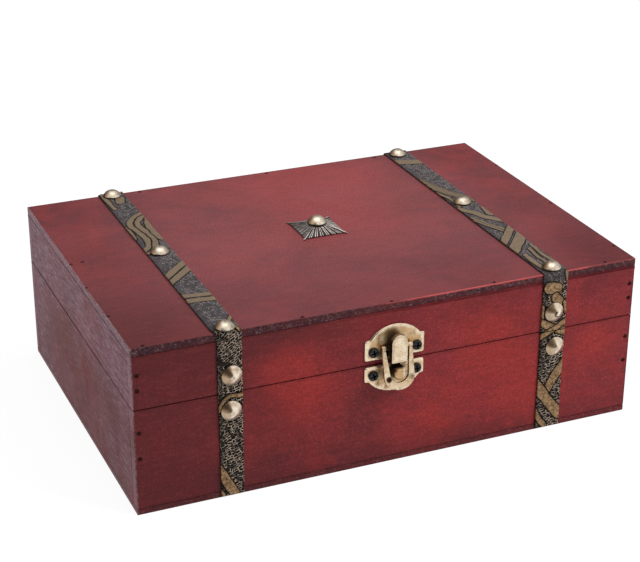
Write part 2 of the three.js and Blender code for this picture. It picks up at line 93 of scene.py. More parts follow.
# Finishes. A wire is one output of a node, and takes part in Python sums.
class Wire:
    def __init__(self, finish, socket):
        self.finish = finish
        self.socket = socket

    def __add__(self, other):
        return self.finish.math("ADD", self, other)

    def __radd__(self, other):
        return self.finish.math("ADD", other, self)

    def __sub__(self, other):
        return self.finish.math("SUBTRACT", self, other)

    def __rsub__(self, other):
        return self.finish.math("SUBTRACT", other, self)

    def __mul__(self, other):
        return self.finish.math("MULTIPLY", self, other)

    def __rmul__(self, other):
        return self.finish.math("MULTIPLY", other, self)

    def between(self, low, high):  # 0 below low, 1 above high
        return self.finish.node(
            "MapRange",
            {"interpolation_type": "SMOOTHSTEP"},
            {"Value": self, "From Min": low, "From Max": high},
        )


class Finish:
    def __init__(self, owner, fixed):  # the owner is a material, or the world
        owner.use_nodes = True
        self.owner = owner
        self.tree = owner.node_tree
        self.shader = self.tree.nodes.get("Principled BSDF") or self.tree.nodes["Background"]
        for socket, value in fixed.items():
            self.shader.inputs[socket].default_value = value

    def node(self, kind, settings=None, values=None, out=0):
        made = self.tree.nodes.new("ShaderNode" + kind)
        for key, value in (settings or {}).items():
            setattr(made, key, value)
        for key, value in (values or {}).items():
            self.feed(made.inputs[key], value)
        return Wire(self, made.outputs[out])

    def feed(self, socket, value):
        if isinstance(value, Wire):
            self.tree.links.new(value.socket, socket)
        else:
            socket.default_value = value

    def math(self, how, first, second):
        return self.node("Math", {"operation": how}, {0: first, 1: second})

    def mix(self, share, under, over):
        kind = {"data_type": "RGBA", "blend_type": "MIX"}
        return self.node("Mix", kind, {0: share, 6: under, 7: over}, out=2)

    def layered(self, colour, layers):  # colours laid over one another, each with its share
        for share, over in layers:
            colour = self.mix(share, colour, over)
        return colour

    def noise(self, where, scale, detail=2.0, rough=0.5, twist=0.0):
        values = {"Vector": where, "Scale": scale, "Detail": detail}
        values.update({"Roughness": rough, "Distortion": twist})
        return self.node("TexNoise", {}, values)

    def stretched(self, where, factors):
        return self.node("VectorMath", {"operation": "MULTIPLY"}, {0: where, 1: factors})

    def place(self):
        return self.node("TexCoord", out="Object")

    def painted(self, name):  # a value stored on the mesh
        return self.node("Attribute", {"attribute_name": name}, out="Fac")

    def bump(self, height, distance, strength):
        values = {"Height": height, "Distance": distance, "Strength": strength}
        self.feed(self.shader.inputs["Normal"], self.node("Bump", {}, values))

    def wear(self, **sockets):
        for socket, value in sockets.items():
            self.feed(self.shader.inputs[socket.replace("_", " ")], value)


def hue(red, green, blue):  # a colour as it shows on the screen
    parts = [part / 255 for part in (red, green, blue)]
    return (*[p / 12.92 if p <= 0.04045 else ((p + 0.055) / 1.055) ** 2.4 for p in parts], 1.0)


woodLook = {
    "deep": hue(96, 25, 30),
    "middle": hue(132, 34, 37),
    "fresh": hue(160, 40, 36),
    # painted shade; the grain bands take this colour too
    "paintedShade": hue(78, 16, 19),
    "dark": hue(52, 18, 21),
    "dust": hue(116, 84, 90),
    "rim": hue(64, 44, 42),
    "rimDark": hue(40, 30, 38),
    "grit": hue(132, 118, 122),
    "rubbedAndHighlit": hue(214, 96, 96),
    "chip": hue(176, 104, 92),
    "smudge": hue(70, 26, 40),
    # painted sheen colours of the ends and of the top
    "haze": hue(164, 126, 142),
    "paintedTopSheen": hue(168, 124, 128),
    "fleck": hue(206, 184, 192),
    "crimson": hue(142, 34, 52),
    "pale": hue(190, 156, 158),
    "speck": hue(180, 78, 80),
    "seam": hue(62, 4, 12),
    "inside": hue(112, 46, 40),
    "nailHole": hue(14, 5, 7),
    "gloss": {"x": 0.18, "y": 0.08},
    "grainStretch": 0.09,  # how far a pattern is drawn out along the grain
    "strokeStretch": 3.3,
    "fleckStretch": 0.16,
    "bump": (0.00012, 0.9),  # metres, strength
}
woodNoises = {  # which way it lies; scale, detail, roughness, twist; where it starts and is full
    "blotch": ("plain", (22, 3, 0.55, 0.6), (0.36, 0.66)),
    "cloud": ("plain", (90, 5, 0.66, 0.5), (0.34, 0.7)),
    "smudge": ("plain", (34, 5, 0.62, 1.2), (0.54, 0.76)),
    "warm": ("plain", (36, 4, 0.62, 1.0), (0.5, 0.66)),
    "cold": ("plain", (29, 4, 0.62, 1.2), (0.5, 0.66)),
    "dust": ("plain", (42, 5, 0.7, 1.4), (0.45, 0.74)),
    "rubbedAndHighlit": ("plain", (900, 3, 0.6), (0.35, 0.6)),
    "rimPatch": ("plain", (560, 4, 0.7, 0.8), None),
    "grit": ("plain", (1500, 3, 0.75), None),
    "streak": ("grain", (820, 5, 0.66, 0.5), None),
    "band": ("grain", (164, 4, 0.6, 1.2), (0.5, 0.74)),
    "pore": ("grain", (1804, 2, 0.5), (0.62, 0.76)),
    "stroke": ("stroke", (420, 3, 0.6, 0.8), None),
    "fleck": ("fleck", (900, 4, 0.75, 0.4), None),
}
woodLayers = (  # painted on the boards' points
    "edge", "chip", "nail", "inside", "dustAndTopSheen", "side", "rim", "haze", "pale", "seam", "fresh", "paintedShade",
    "rubbedAndHighlit",
)


def woodFinish(name, along):
    wood = Finish(bpy.data.materials.new(name), {"Specular IOR Level": woodLook["gloss"][along]})
    tone = woodLook

    def drawnOut(place, amount):
        return wood.stretched(place, (amount, 1, 1) if along == "x" else (1, amount, 1))

    ways = {"plain": wood.place()}
    ways["grain"] = drawnOut(ways["plain"], tone["grainStretch"])
    ways["stroke"] = drawnOut(ways["grain"], tone["strokeStretch"])
    ways["fleck"] = drawnOut(ways["plain"], tone["fleckStretch"])
    noise = {}
    for key, (way, values, limits) in woodNoises.items():
        noise[key] = wood.noise(ways[way], *values)
        if limits:
            noise[key] = noise[key].between(*limits)
    streak, grit, stroke = noise["streak"], noise["grit"], noise["stroke"]
    fleck, rimPatch = noise["fleck"], noise["rimPatch"]
    painted = {layer: wood.painted(layer) for layer in woodLayers}
    dustAndTopSheen, haze = painted["dustAndTopSheen"], painted["haze"]
    speckled = (0.5 + 0.4 * haze + dustAndTopSheen) * (1 - 0.45 * painted["paintedShade"])
    flecked = 0.3 * painted["side"] + 0.7 * haze
    veil = 0.2 + 0.3 * streak.between(0.36, 0.6) + 0.3 * grit.between(0.5, 0.66)
    rim = wood.layered(tone["rimDark"], [
        (rimPatch.between(0.44, 0.62), tone["rim"]),
        (grit.between(0.48, 0.66) * rimPatch.between(0.42, 0.62) * 0.85, tone["grit"]),
    ])
    colour = wood.layered(tone["deep"], [
        (noise["blotch"], tone["middle"]),
        (noise["cloud"] * 0.5, tone["middle"]),
        (noise["warm"] * 0.32, tone["fresh"]),
        (noise["cold"] * 0.26, tone["crimson"]),
        (painted["fresh"] * 0.75, tone["fresh"]),
        (painted["paintedShade"] * 0.85, tone["paintedShade"]),
        (noise["smudge"] * (0.3 - 0.16 * dustAndTopSheen), tone["smudge"]),
        (streak.between(0.4, 0.72) * 0.1, tone["dark"]),
        (noise["band"] * 0.07, tone["paintedShade"]),
        (stroke.between(0.5, 0.68) * (0.12 + 0.1 * dustAndTopSheen), tone["dark"]),
        ((1 - stroke.between(0.34, 0.5)) * 0.06, tone["speck"]),
        (noise["pore"] * 0.3, tone["dark"]),
        ((1 - grit.between(0.38, 0.54)) * speckled * 0.46, tone["dark"]),
        (grit.between(0.52, 0.68) * speckled * 0.42, tone["speck"]),
        (noise["dust"] * (0.03 + 0.06 * dustAndTopSheen), tone["dust"]),
        # painted sheen on the top
        (dustAndTopSheen * (0.15 + 0.04 * noise["blotch"]), tone["paintedTopSheen"]),
        # painted sheen on the ends
        (haze * veil, tone["haze"]),
        (flecked * fleck.between(0.52, 0.64) * 0.38, tone["fleck"]),
        (flecked * (1 - fleck.between(0.37, 0.48)) * 0.7, tone["smudge"]),
        (painted["inside"] * 0.75, tone["inside"]),
        (painted["rim"] * 0.9, rim),
        (painted["edge"] * noise["rubbedAndHighlit"] * 0.5, tone["dark"]),
        (painted["chip"] * 0.5, tone["chip"]),
        # painted highlights along the edges
        (painted["pale"] * noise["rubbedAndHighlit"], tone["pale"]),
        (painted["rubbedAndHighlit"], tone["rubbedAndHighlit"]),
        (painted["seam"], tone["seam"]),
        (painted["nail"], tone["nailHole"]),
    ])
    rough = 0.4 + 0.2 * streak + 0.1 * noise["dust"] + 0.2 * painted["inside"]
    rough = rough + 0.3 * painted["rim"] + 0.3 * painted["seam"]
    wood.wear(Base_Color=colour, Roughness=rough)
    wood.bump(streak * 0.6 - noise["pore"] + noise["cloud"] * 0.2 + grit * 0.3, *tone["bump"])
    return wood.owner


leatherLook = {
    "ground": hue(7, 7, 8),
    "groundWorn": hue(24, 22, 23),
    "vein": hue(230, 206, 182),
    "paintedGreySheen": hue(84, 77, 80),
    "veinInGreySheen": hue(176, 166, 162),
    "bronze": hue(168, 137, 102),
    "bronzeDark": hue(86, 64, 42),
    "bronzeInGreySheen": hue(122, 108, 92),
    "line": hue(8, 6, 6),
    "fine": (2200, 3, 0.7),  # scale, detail and roughness of a noise
    "patch": (420, 4, 0.65),
    "grain": (1150, 4, 0.7),
    "gloss": 0.1,
    "bump": (0.00004, 0.8),
}


def leatherFinish():
    leather = Finish(bpy.data.materials.new("strapLeather"), {"Specular IOR Level": leatherLook["gloss"]})
    tone = leatherLook
    where = leather.place()
    fine, patch, grain = [leather.noise(where, *tone[key]) for key in ("fine", "patch", "grain")]
    paintedGreySheen, figure = leather.painted("paintedGreySheen"), leather.painted("figure")
    veins = leather.painted("vein") * (0.55 + 0.45 * fine.between(0.38, 0.55))
    mottle = (0.7 * grain + 0.3 * patch).between(0.36, 0.62) * (1 - 0.5 * leather.painted("hem"))
    ground = leather.layered(tone["ground"], [
        (patch.between(0.45, 0.7), tone["groundWorn"]),
        (paintedGreySheen * (0.35 + 0.4 * fine.between(0.4, 0.6)), tone["paintedGreySheen"]),
        (veins * (1 - 0.15 * paintedGreySheen), leather.mix(paintedGreySheen, tone["vein"], tone["veinInGreySheen"])),
    ])
    bronze = leather.layered(tone["bronzeDark"], [
        (mottle, tone["bronze"]),
        (paintedGreySheen * 0.7, tone["bronzeInGreySheen"]),
        (leather.painted("strand"), tone["line"]),
    ])
    leather.wear(
        Base_Color=leather.layered(ground, [(figure, bronze), (leather.painted("groove"), tone["line"])]),
        Roughness=0.6 - 0.14 * figure + 0.12 * fine,
        Metallic=0.25 * figure,
    )
    leather.bump(fine, *tone["bump"])
    return leather.owner


metalLooks = {  # how rough it is, how large its patches are to a metre, and how much of each layer shows
    "studBrass": {
        "bright": hue(240, 228, 208), "dull": hue(180, 156, 128), "gold": hue(168, 132, 96),
        "stainAndShade": hue(50, 36, 26), "rough": 0.2, "patchy": 620, "amount": 0.6, "tint": 0.35, "specks": 0.25,
    },
    "paleBrass": {
        "bright": hue(236, 218, 190), "dull": hue(180, 144, 102), "gold": hue(188, 150, 102),
        "stainAndShade": hue(52, 36, 22), "rough": 0.28, "patchy": 420, "amount": 0.6, "tint": 0.6, "specks": 0.75,
    },
    "darkPewter": {
        "bright": hue(232, 220, 214), "dull": hue(88, 80, 76), "gold": hue(96, 82, 66),
        "stainAndShade": hue(24, 21, 20), "rough": 0.3, "patchy": 500, "amount": 0.7, "tint": 0.3, "specks": 0.3,
    },
    "hingeBrass": {
        "bright": hue(192, 166, 122), "dull": hue(140, 112, 74), "gold": hue(176, 134, 72),
        "stainAndShade": hue(50, 36, 24), "rough": 0.3, "patchy": 380, "amount": 0.5, "tint": 0.4, "specks": 0.4,
    },
    "blackSteel": {
        "bright": hue(62, 62, 64), "dull": hue(26, 25, 27), "gold": hue(34, 34, 38),
        "stainAndShade": hue(6, 6, 7), "rough": 0.36, "patchy": 600, "amount": 0.6, "tint": 0.2, "specks": 0.0,
    },
    "nailSteel": {
        "bright": hue(64, 48, 44), "dull": hue(34, 24, 22), "gold": hue(60, 36, 26),
        "stainAndShade": hue(14, 9, 9), "rough": 0.55, "patchy": 900, "amount": 0.6, "tint": 0.3, "specks": 0.3,
    },
}
metalNoises = {  # scale, detail and roughness
    "speck": (1900, 2, 0.5),
    "scratch": (2400, 2, 0.5),
    "freckle": (1250, 3, 0.7),
}
metalBump = (0.00005, 0.7)


def metalFinish(name):
    look = metalLooks[name]
    metal = Finish(bpy.data.materials.new(name), {"Metallic": 1.0})
    where = metal.place()
    drawnDown = metal.stretched(where, (1, 1, 0.08))
    patch = metal.noise(where, look["patchy"], 4, 0.6, 0.5)
    tint = metal.noise(where, look["patchy"] * 0.6, 3, 0.6, 0.8).between(0.44, 0.62)
    speck = metal.noise(where, *metalNoises["speck"]).between(0.62, 0.7)
    scratch = metal.noise(drawnDown, *metalNoises["scratch"])
    freckle = metal.noise(where, *metalNoises["freckle"]).between(0.52, 0.68)
    # stains, with painted shade where a piece paints it
    stainAndShade, rub = metal.painted("stainAndShade"), metal.painted("rub")
    colour = metal.layered(look["bright"], [
        (patch.between(0.35, 0.7) * look["amount"], look["dull"]),
        (tint * look["tint"], look["gold"]),
        (freckle * look["specks"] * 0.4, look["stainAndShade"]),
        (metal.painted("warm"), look["gold"]),
        (stainAndShade, look["stainAndShade"]),
        (rub * 0.8, look["bright"]),
        (speck * look["specks"], look["stainAndShade"]),
    ])
    metal.wear(Base_Color=colour, Roughness=look["rough"] + 0.16 * patch + 0.25 * stainAndShade - 0.1 * rub)
    metal.bump(patch + 0.3 * scratch - 0.5 * speck, *metalBump)
    return metal.owner


woods = {way: woodFinish("redWood" + way.upper(), way) for way in ("x", "y")}
strapLeather = leatherFinish()
metals = {name: metalFinish(name) for name in metalLooks}
print("finishes: mixed")


# Shapes. Points are in millimetres until a mesh is made of them.
def smooth(value, low, high):
    part = np.clip((value - low) / (high - low), 0, 1)
    return part * part * (3 - 2 * part)


def hump(value, start, full, fade, gone):  # 1 from full to fade
    return smooth(value, start, full) * (1 - smooth(value, fade, gone))


def bell(distance, width):  # 1 in the middle, and next to nothing at twice the width
    return np.exp(-(distance / width) ** 2)


def scatter(cells, seed):  # a repeatable number from 0 to 1 for each whole-numbered cell
    axisPrimes = (374761393, 668265263, 2246822519)
    seedPrime, mixPrime, span = 974634777, 1274126177, 65521
    total = np.full(cells.shape[:-1], seed * seedPrime, np.uint64)
    for axis in range(cells.shape[-1]):
        total = total + cells[..., axis].astype(np.int64).astype(np.uint64) * np.uint64(axisPrimes[axis])
    total = (total ^ (total >> np.uint64(13))) * np.uint64(mixPrime)
    total = total ^ (total >> np.uint64(16))
    return (total % np.uint64(span)).astype(float) / span


def drift(points, pitch, seed):  # smooth noise from -1 to 1
    place = points / pitch
    base = np.floor(place)
    part = place - base
    part = smooth(part, 0, 1)
    total = np.zeros(len(points))
    for corner in itertools.product((0, 1), repeat=points.shape[1]):
        share = np.prod(np.where(corner, part, 1 - part), axis=1)
        total += share * scatter(base + corner, seed)
    return total * 2 - 1


def cellEdges(points, size, seed, stray):  # how far it is to the nearest edge of an irregular cell
    points = points / size
    base = np.floor(points)
    ways = []
    for step in itertools.product((-1, 0, 1), repeat=2):
        cell = base + step
        spot = cell + 0.5 + stray * (np.stack([scatter(cell, seed), scatter(cell, seed + 7)], -1) - 0.5)
        ways.append(points - spot)
    ways = np.array(ways)
    reach = np.linalg.norm(ways, axis=-1)
    order = np.argsort(reach, axis=0)
    near, far = [np.take_along_axis(reach, order[[turn]], 0)[0] for turn in (0, 1)]
    nearWay, farWay = [np.take_along_axis(ways, order[[turn]][..., None], 0)[0] for turn in (0, 1)]
    slope = (farWay / (far[:, None] + 1e-6) - nearWay / (near[:, None] + 1e-6)) / size
    return (far - near) / np.maximum(np.linalg.norm(slope, axis=1), 0.2)


def storeLayers(mesh, painted):  # values at the mesh's points, which the finishes read
    for layer, values in painted.items():
        mesh.attributes.new(layer, "FLOAT", "POINT").data.foreach_set("value", np.float32(values))


def makePiece(name, points, faces, finish, painted=None):
    mesh = bpy.data.meshes.new(name)
    mesh.from_pydata((np.asarray(points) * mm).tolist(), [], faces)
    mesh.materials.append(finish)
    storeLayers(mesh, painted or {})
    mesh.polygons.foreach_set("use_smooth", [True] * len(mesh.polygons))
    piece = bpy.data.objects.new(name, mesh)
    bpy.context.scene.collection.objects.link(piece)
    return piece


def dress(piece, node):  # rides with the node's body, and stands for it in place of the hidden node
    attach(piece, frame["nodes"][node]["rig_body"])
    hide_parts(node)


def skin(rings, joined=False):  # faces over rings of points, shut at both ends or joined in a loop
    count, around = rings.shape[:2]
    index = np.arange(count * around).reshape(count, around)
    row = index if joined else index[:-1]
    nextRow = np.roll(index, -1, 0) if joined else index[1:]
    quads = np.stack([row, np.roll(row, -1, 1), np.roll(nextRow, -1, 1), nextRow], -1)
    faces = quads.reshape(-1, 4).tolist()
    if not joined:
        faces += [index[0][::-1].tolist(), index[-1].tolist()]
    return rings.reshape(-1, 3), faces


def outward(piece):  # turns every face outwards
    shape = bmesh.new()
    shape.from_mesh(piece.data)
    bmesh.ops.recalc_face_normals(shape, faces=shape.faces)
    shape.to_mesh(piece.data)
    shape.free()
    return piece


def crease(piece, degrees):  # keeps edges sharper than this as edges
    shape = bmesh.new()
    shape.from_mesh(piece.data)
    for edge in shape.edges:
        edge.smooth = edge.calc_face_angle(0) < math.radians(degrees)
    shape.to_mesh(piece.data)
    shape.free()
    return piece


def fuse(piece, others, how="UNION", tidy=False):  # joins or cuts closed pieces into one
    for other in others:
        tool = piece.modifiers.new("fuse", "BOOLEAN")
        tool.operation = how
        tool.solver = "EXACT"
        tool.use_self = tidy
        tool.object = other
        bpy.context.view_layer.update()
        done = bpy.data.meshes.new_from_object(piece.evaluated_get(bpy.context.evaluated_depsgraph_get()))
        piece.modifiers.clear()
        piece.data = done
        bpy.data.objects.remove(other)
    return piece


facing = {
    "up": lambda x, y, z: (x, y, z),
    "front": lambda x, y, z: (x, -z, y),
    "back": lambda x, y, z: (-x, z, y),
    "side": lambda x, y, z: (z, x, y),
}


def turnedRings(profile, sides):  # rings of a round solid that stands along z
    angles = np.arange(sides) / sides * 2 * np.pi
    radii = np.array([max(r, 0.01) for r, z in profile])[:, None]
    heights = np.array([z for r, z in profile])[:, None] + 0 * angles
    return np.stack([radii * np.cos(angles), radii * np.sin(angles), heights], -1)


def turnTo(rings, side, place):  # turns rings to face a side, then puts them in place
    x, y, z = facing[side](rings[..., 0], rings[..., 1], rings[..., 2])
    return np.stack([x, y, z], -1) + np.array(place)


def arc(centre, radius, start, end, steps):
    angles = np.radians(np.linspace(start, end, steps))
    return [(centre[0] + radius * math.cos(a), centre[1] + radius * math.sin(a)) for a in angles]


def rounded(corners, radius, steps=5):  # an outline with its corners rounded
    outline = []
    for index, corner in enumerate(corners):
        here = Vector(corner)
        before = (Vector(corners[index - 1]) - here).normalized()
        after = (Vector(corners[(index + 1) % len(corners)]) - here).normalized()
        for step in range(steps):
            share = step / (steps - 1)
            first = here + before * radius * (1 - share)
            second = here + after * radius * share
            outline.append(tuple(first.lerp(second, share)))
    return outline


def inset(outline, amount, spine=None):  # the outline drawn in by an amount; it runs anticlockwise
    points = np.array(outline)
    if spine:  # (lowest, highest, half width) of a round-ended tongue's middle line
        middle = np.column_stack([np.zeros(len(points)), np.clip(points[:, 1], spine[0], spine[1])])
        return points + (middle - points) * amount / spine[2]
    ahead = np.roll(points, -1, 0) - points
    ahead /= np.linalg.norm(ahead, axis=1)[:, None] + 1e-9
    behind = np.roll(ahead, 1, 0)
    normal = np.stack([-(ahead + behind)[:, 1], (ahead + behind)[:, 0]], -1)
    normal /= np.linalg.norm(normal, axis=1)[:, None] + 1e-9
    lean = np.clip(np.sum(normal * np.stack([-ahead[:, 1], ahead[:, 0]], -1), 1), 0.5, 1)
    return points + normal * (amount / lean)[:, None]


def pressed(outline, levels, side, place, spine=None):  # an outline drawn in and raised, level by level
    rings = []
    for amount, height in levels:
        flat = inset(outline, amount, spine)
        rings.append(np.column_stack([flat, np.full(len(flat), height)]))
    return turnTo(np.array(rings), side, place)


def cornersOf(node):
    low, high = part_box(node)
    return np.array(low) / mm, np.array(high) / mm


# The boards: softly rounded edges, small chips, and dents where nails are driven
boardShape = {
    "round": 0.3,
    "jointRound": 0.1,
    "chip": 0.2,
    "softening": 0.06,
    "ends": (0, 0.1, 0.22, 0.38, 0.6, 0.95, 1.4, 2, 2.8, 3.8, 5, 6.6, 8.6),
    "step": 4.0,
    "closest": 0.09,
    "nailGrid": (-1.1, -0.8, -0.55, -0.3, 0, 0.3, 0.55, 0.8, 1.1),
    "topDent": (0.75, 0.5),  # radius, depth
    "frontDent": (0.85, 0.75),
    "backDent": (0.8, 0.5),
}
boxPlaces = {"side": 110, "front": 77, "top": 72, "joint": 68, "split": 46}
boxInside = {"x": 105.05, "y": 72.05, "low": 2.5, "high": 68.9}
topNails = [
    (-109, 8), (-104, 8.5), (-109, -46), (-104.5, -75.2), (109, 43), (108.6, -9), (-109.8, -17),
    (108.4, -62), (-40, -75.4), (-2, -75.6), (44, -75.4), (96, -75.4), (-58, 75.4), (4, 75.4), (60, 75.4),
]
backNails = [(-108, 54), (-108, 61), (108, 54), (108, 61), (-108, 24), (-108, 37), (108, 24), (108, 37)]
boards = {
    "lid_top_panel": ("lidTop", "x"),
    "lid_front_rail": ("lidFront", "x"),
    "lid_back_rail": ("lidBack", "x"),
    "lid_left_rail": ("lidLeft", "y"),
    "lid_right_rail": ("lidRight", "y"),
    "base_bottom_panel": ("baseBottom", "x"),
    "base_front_panel": ("baseFront", "x"),
    "base_back_panel": ("baseBack", "x"),
    "base_left_panel": ("baseLeft", "y"),
    "base_right_panel": ("baseRight", "y"),
}
frontNails = [cornersOf(node) for node in frame["nodes"] if "_nail_" in node]
frontNails = [((low + high) / 2)[[0, 2]] for low, high in frontNails]


def boardLines(low, high, marks):  # where the grid lines cross one side of a board
    ends = [end for end in boardShape["ends"] if end < (high - low) / 2 - 0.3]
    lines = [low + end for end in ends] + [high - end for end in ends]
    inner = high - low - 2 * ends[-1]
    count = max(1, round(inner / boardShape["step"]))
    lines += [low + ends[-1] + inner * step / count for step in range(1, count)]
    lines += [mark + offset for mark in marks for offset in boardShape["nailGrid"]]
    lines = sorted(line for line in lines if low <= line <= high)
    kept = [lines[0]]
    for line in lines[1:]:
        if line - kept[-1] > boardShape["closest"]:
            kept.append(line)
    kept[-1] = high
    return np.array(kept)


def boardDents(name, low, high):  # (axis it faces, side of the board, place on the face, (radius, depth))
    if name == "lidTop":
        return [(2, 1, spot, boardShape["topDent"]) for spot in topNails]
    if name in ("lidFront", "baseFront"):
        return [(1, -1, spot, boardShape["frontDent"]) for spot in frontNails if low[2] < spot[1] < high[2]]
    if name in ("lidBack", "baseBack"):
        return [(1, 1, spot, boardShape["backDent"]) for spot in backNails if low[2] < spot[1] < high[2]]
    return []


def otherAxes(axis):
    return [other for other in range(3) if other != axis]


def boardSkin(low, high, dents):  # points all over a board, closer together at its edges and nails
    marks = [[], [], []]
    for axis, side, spot, size in dents:
        for other, value in zip(otherAxes(axis), spot):
            marks[other].append(value)
    lines = [boardLines(low[axis], high[axis], marks[axis]) for axis in range(3)]
    counts = [len(line) for line in lines]
    grid = np.indices(counts)
    rim = np.zeros(counts, bool)
    for axis in range(3):
        rim |= (grid[axis] == 0) | (grid[axis] == counts[axis] - 1)
    number = np.full(counts, -1)
    number[rim] = np.arange(rim.sum())
    points = np.stack([lines[axis][grid[axis][rim]] for axis in range(3)], -1)
    faces = []
    for axis in range(3):
        for end in (0, counts[axis] - 1):
            sheet = np.take(number, end, axis)
            quads = np.stack([sheet[:-1, :-1], sheet[1:, :-1], sheet[1:, 1:], sheet[:-1, 1:]], -1)
            if (end == 0) != (axis == 1):
                quads = quads[..., ::-1]
            faces += quads.reshape(-1, 4).tolist()
    return points, faces


def boardPiece(node):
    name, way = boards[node]
    low, high = cornersOf(node)
    dents = boardDents(name, low, high)
    points, faces = boardSkin(low, high, dents)
    fromSplit = np.abs(points[:, 2] - boxPlaces["split"])
    fromJoint = np.abs(points[:, 2] - boxPlaces["joint"])
    edge = np.where(np.minimum(fromSplit, fromJoint) < 0.7, boardShape["jointRound"], boardShape["round"])
    edge = edge[:, None]
    core = np.clip(points, low + edge, high - edge)
    away = points - core
    unit = away / np.maximum(np.linalg.norm(away, axis=1)[:, None], 1e-9)
    placed = core + unit * edge
    worn = smooth(drift(placed, 2.2, 3) + 0.5 * drift(placed, 0.7, 5), 0.35, 1.2)
    softened = boardShape["softening"] * (0.5 + 0.5 * drift(placed, 9, 8))
    corner = smooth(1 - np.abs(unit).max(1), 0.02, 0.28)
    placed -= unit * (corner * (boardShape["chip"] * worn + softened))[:, None]
    nail = np.zeros(len(points))
    for axis, side, spot, (radius, depth) in dents:
        reach = np.linalg.norm(points[:, otherAxes(axis)] - np.array(spot), axis=1)
        onFace = np.abs(points[:, axis] - (high if side > 0 else low)[axis]) < 0.01
        hollow = np.where(onFace, 1 - smooth(reach, radius * 0.72, radius * 1.25), 0)
        placed[:, axis] -= side * depth * hollow
        nail = np.maximum(nail, hollow)
    toEdge = np.sort(np.minimum(points - low, high - points), axis=1)[:, 1]
    painted = woodPaint(name, placed, toEdge, (fromSplit < 0.6) & (toEdge > 0.5))
    painted.update({"nail": nail, "chip": corner * smooth(worn, 0.5, 1)})
    dress(makePiece(name + "Board", placed, faces, woods[way], painted), node)


def woodPaint(name, points, toEdge, onCut):  # where the wood is worn, dusty, dark at its joints or brighter, with painted shade, sheen and edge highlights
    x, y, z = points.T
    side, front, top, joint, split = boxPlaces.values()

    def stray(pitch, seed):
        return drift(points, pitch, seed)

    isInside = (np.abs(x) < boxInside["x"]) & (np.abs(y) < boxInside["y"])
    isInside &= (z > boxInside["low"]) & (z < boxInside["high"])
    onFront = smooth(-y, front - 0.8, front - 0.2)
    onSide = smooth(np.abs(x), side - 0.4, side - 0.1)
    rim = smooth(np.abs(y) + 0.16 * stray(1.8, 41), front - 0.6, front - 0.2) * (0.78 + 0.22 * stray(4, 42))
    inward = smooth(z, 0.8, 2.2) * (1 - smooth(y, front - 2, front - 0.6))

    # Dark lines at the joints
    topJoint = 1 - smooth(np.abs(z - joint - 0.05), 0.15, 0.62)
    topJoint = topJoint * (0.15 + 0.75 * smooth(x, -30, 30)) * (0.8 + 0.4 * stray(4, 51))
    frontSplit = 0.9 * (1 - smooth(np.abs(z - split), 0.08, 0.3))
    rightCorner = (1 - smooth(side - x, 0.1, 0.75)) * smooth(joint + 1 - z, 0, 1.5)
    rightCorner = rightCorner * (0.5 + 0.7 * stray(2.4, 52))
    sideSplit = onSide * (1 - smooth(np.abs(z - split), 0.12, 0.48))
    sideSplit = sideSplit * (0.2 + 0.75 * smooth(y + 8 * stray(12, 53), -25, 15))
    seam = onFront * np.clip(np.maximum(topJoint, frontSplit) + rightCorner, 0, 1)

    # Painted highlights along edges: pale lines on the ends' top edges and at the front left corner, a
    # bright line along the front top edge
    toTop, toFront, toSide = z - top + 0.1, y + front - 0.1, np.abs(x) - side + 0.1
    topEdge = bell(np.hypot(toFront, toTop), 0.34) * smooth(x + 8 * stray(9, 45), -18, 20)
    topEdge = topEdge * (1 - 0.6 * smooth(x + 5 * stray(7, 46), 80, 92))
    endEdge = bell(np.hypot(toSide, toTop), 0.3) * (0.55 + 0.45 * stray(5, 48))
    leftCorner = bell(np.hypot(x + side - 0.1, toFront), 0.34) * (0.3 + 0.3 * stray(4, 49))

    # Broad tones: painted shade on the front and the lower ends, painted sheen on the top and the ends, and
    # where dust lies on the top
    towardsLeft = 1 - smooth(x + 12 * stray(24, 43), -84, -28)
    leftHalf = 1 - smooth(x + 9 * stray(20, 55), -30, 8)
    nearFoot = 1 - smooth(z + 3 * stray(14, 44), 2, 16)
    nearTop = smooth(z + 3 * stray(14, 54), 54, 66)
    paintedShade = onFront * (0.9 * towardsLeft + 0.35 * nearFoot + nearTop * (0.28 + 0.4 * leftHalf)
                       + 0.3 * nearFoot * leftHalf)
    paintedShade = np.clip(paintedShade + 0.3 * onSide * (1 - smooth(z, 30, 56)), 0, 1)
    # painted sheen on the top, less towards its ends, front and back; it also sets how much dust shows
    dustAndTopSheen = 1 - 0.5 * smooth(np.abs(x), 60, 100) - 0.35 * smooth(-y, 20, 75) - 0.2 * smooth(y, 30, 70)
    # painted sheen: the ends greyed as by a reflection, more higher up, towards the back and on the left
    # end
    haze = 0.1 + 0.95 * smooth(z, 32, 58) + 0.46 * smooth(y, 14, 74) + 0.15 * smooth(-y, 56, 76)
    haze = onSide * np.clip(haze + 0.45 * stray(16, 47), 0.05, 1.15)
    edge = (1 - smooth(toEdge, 0.25, 1.5)) * (0.55 + 0.45 * stray(1.6, 11))
    return {
        "edge": edge * (1 - 0.7 * onSide * inward),
        "inside": np.where(isInside | onCut, 1.0, 0.0),
        "dustAndTopSheen": np.where(z > top - 0.1, dustAndTopSheen, 0.15),
        "side": onSide * np.where(x < 0, 1, 0.6),
        "rim": rim * {"lidTop": 1.0, "baseBottom": 0.45}.get(name, 0),
        "haze": haze * np.where(x < 0, 1, 0.5),
        "pale": endEdge + leftCorner,
        "seam": np.maximum(seam, sideSplit),
        "fresh": freshness(points),
        "paintedShade": paintedTopShade(points) if name == "lidTop" else paintedShade,
        "rubbedAndHighlit": topEdge * (0.75 + 0.25 * stray(3, 46)),
    }


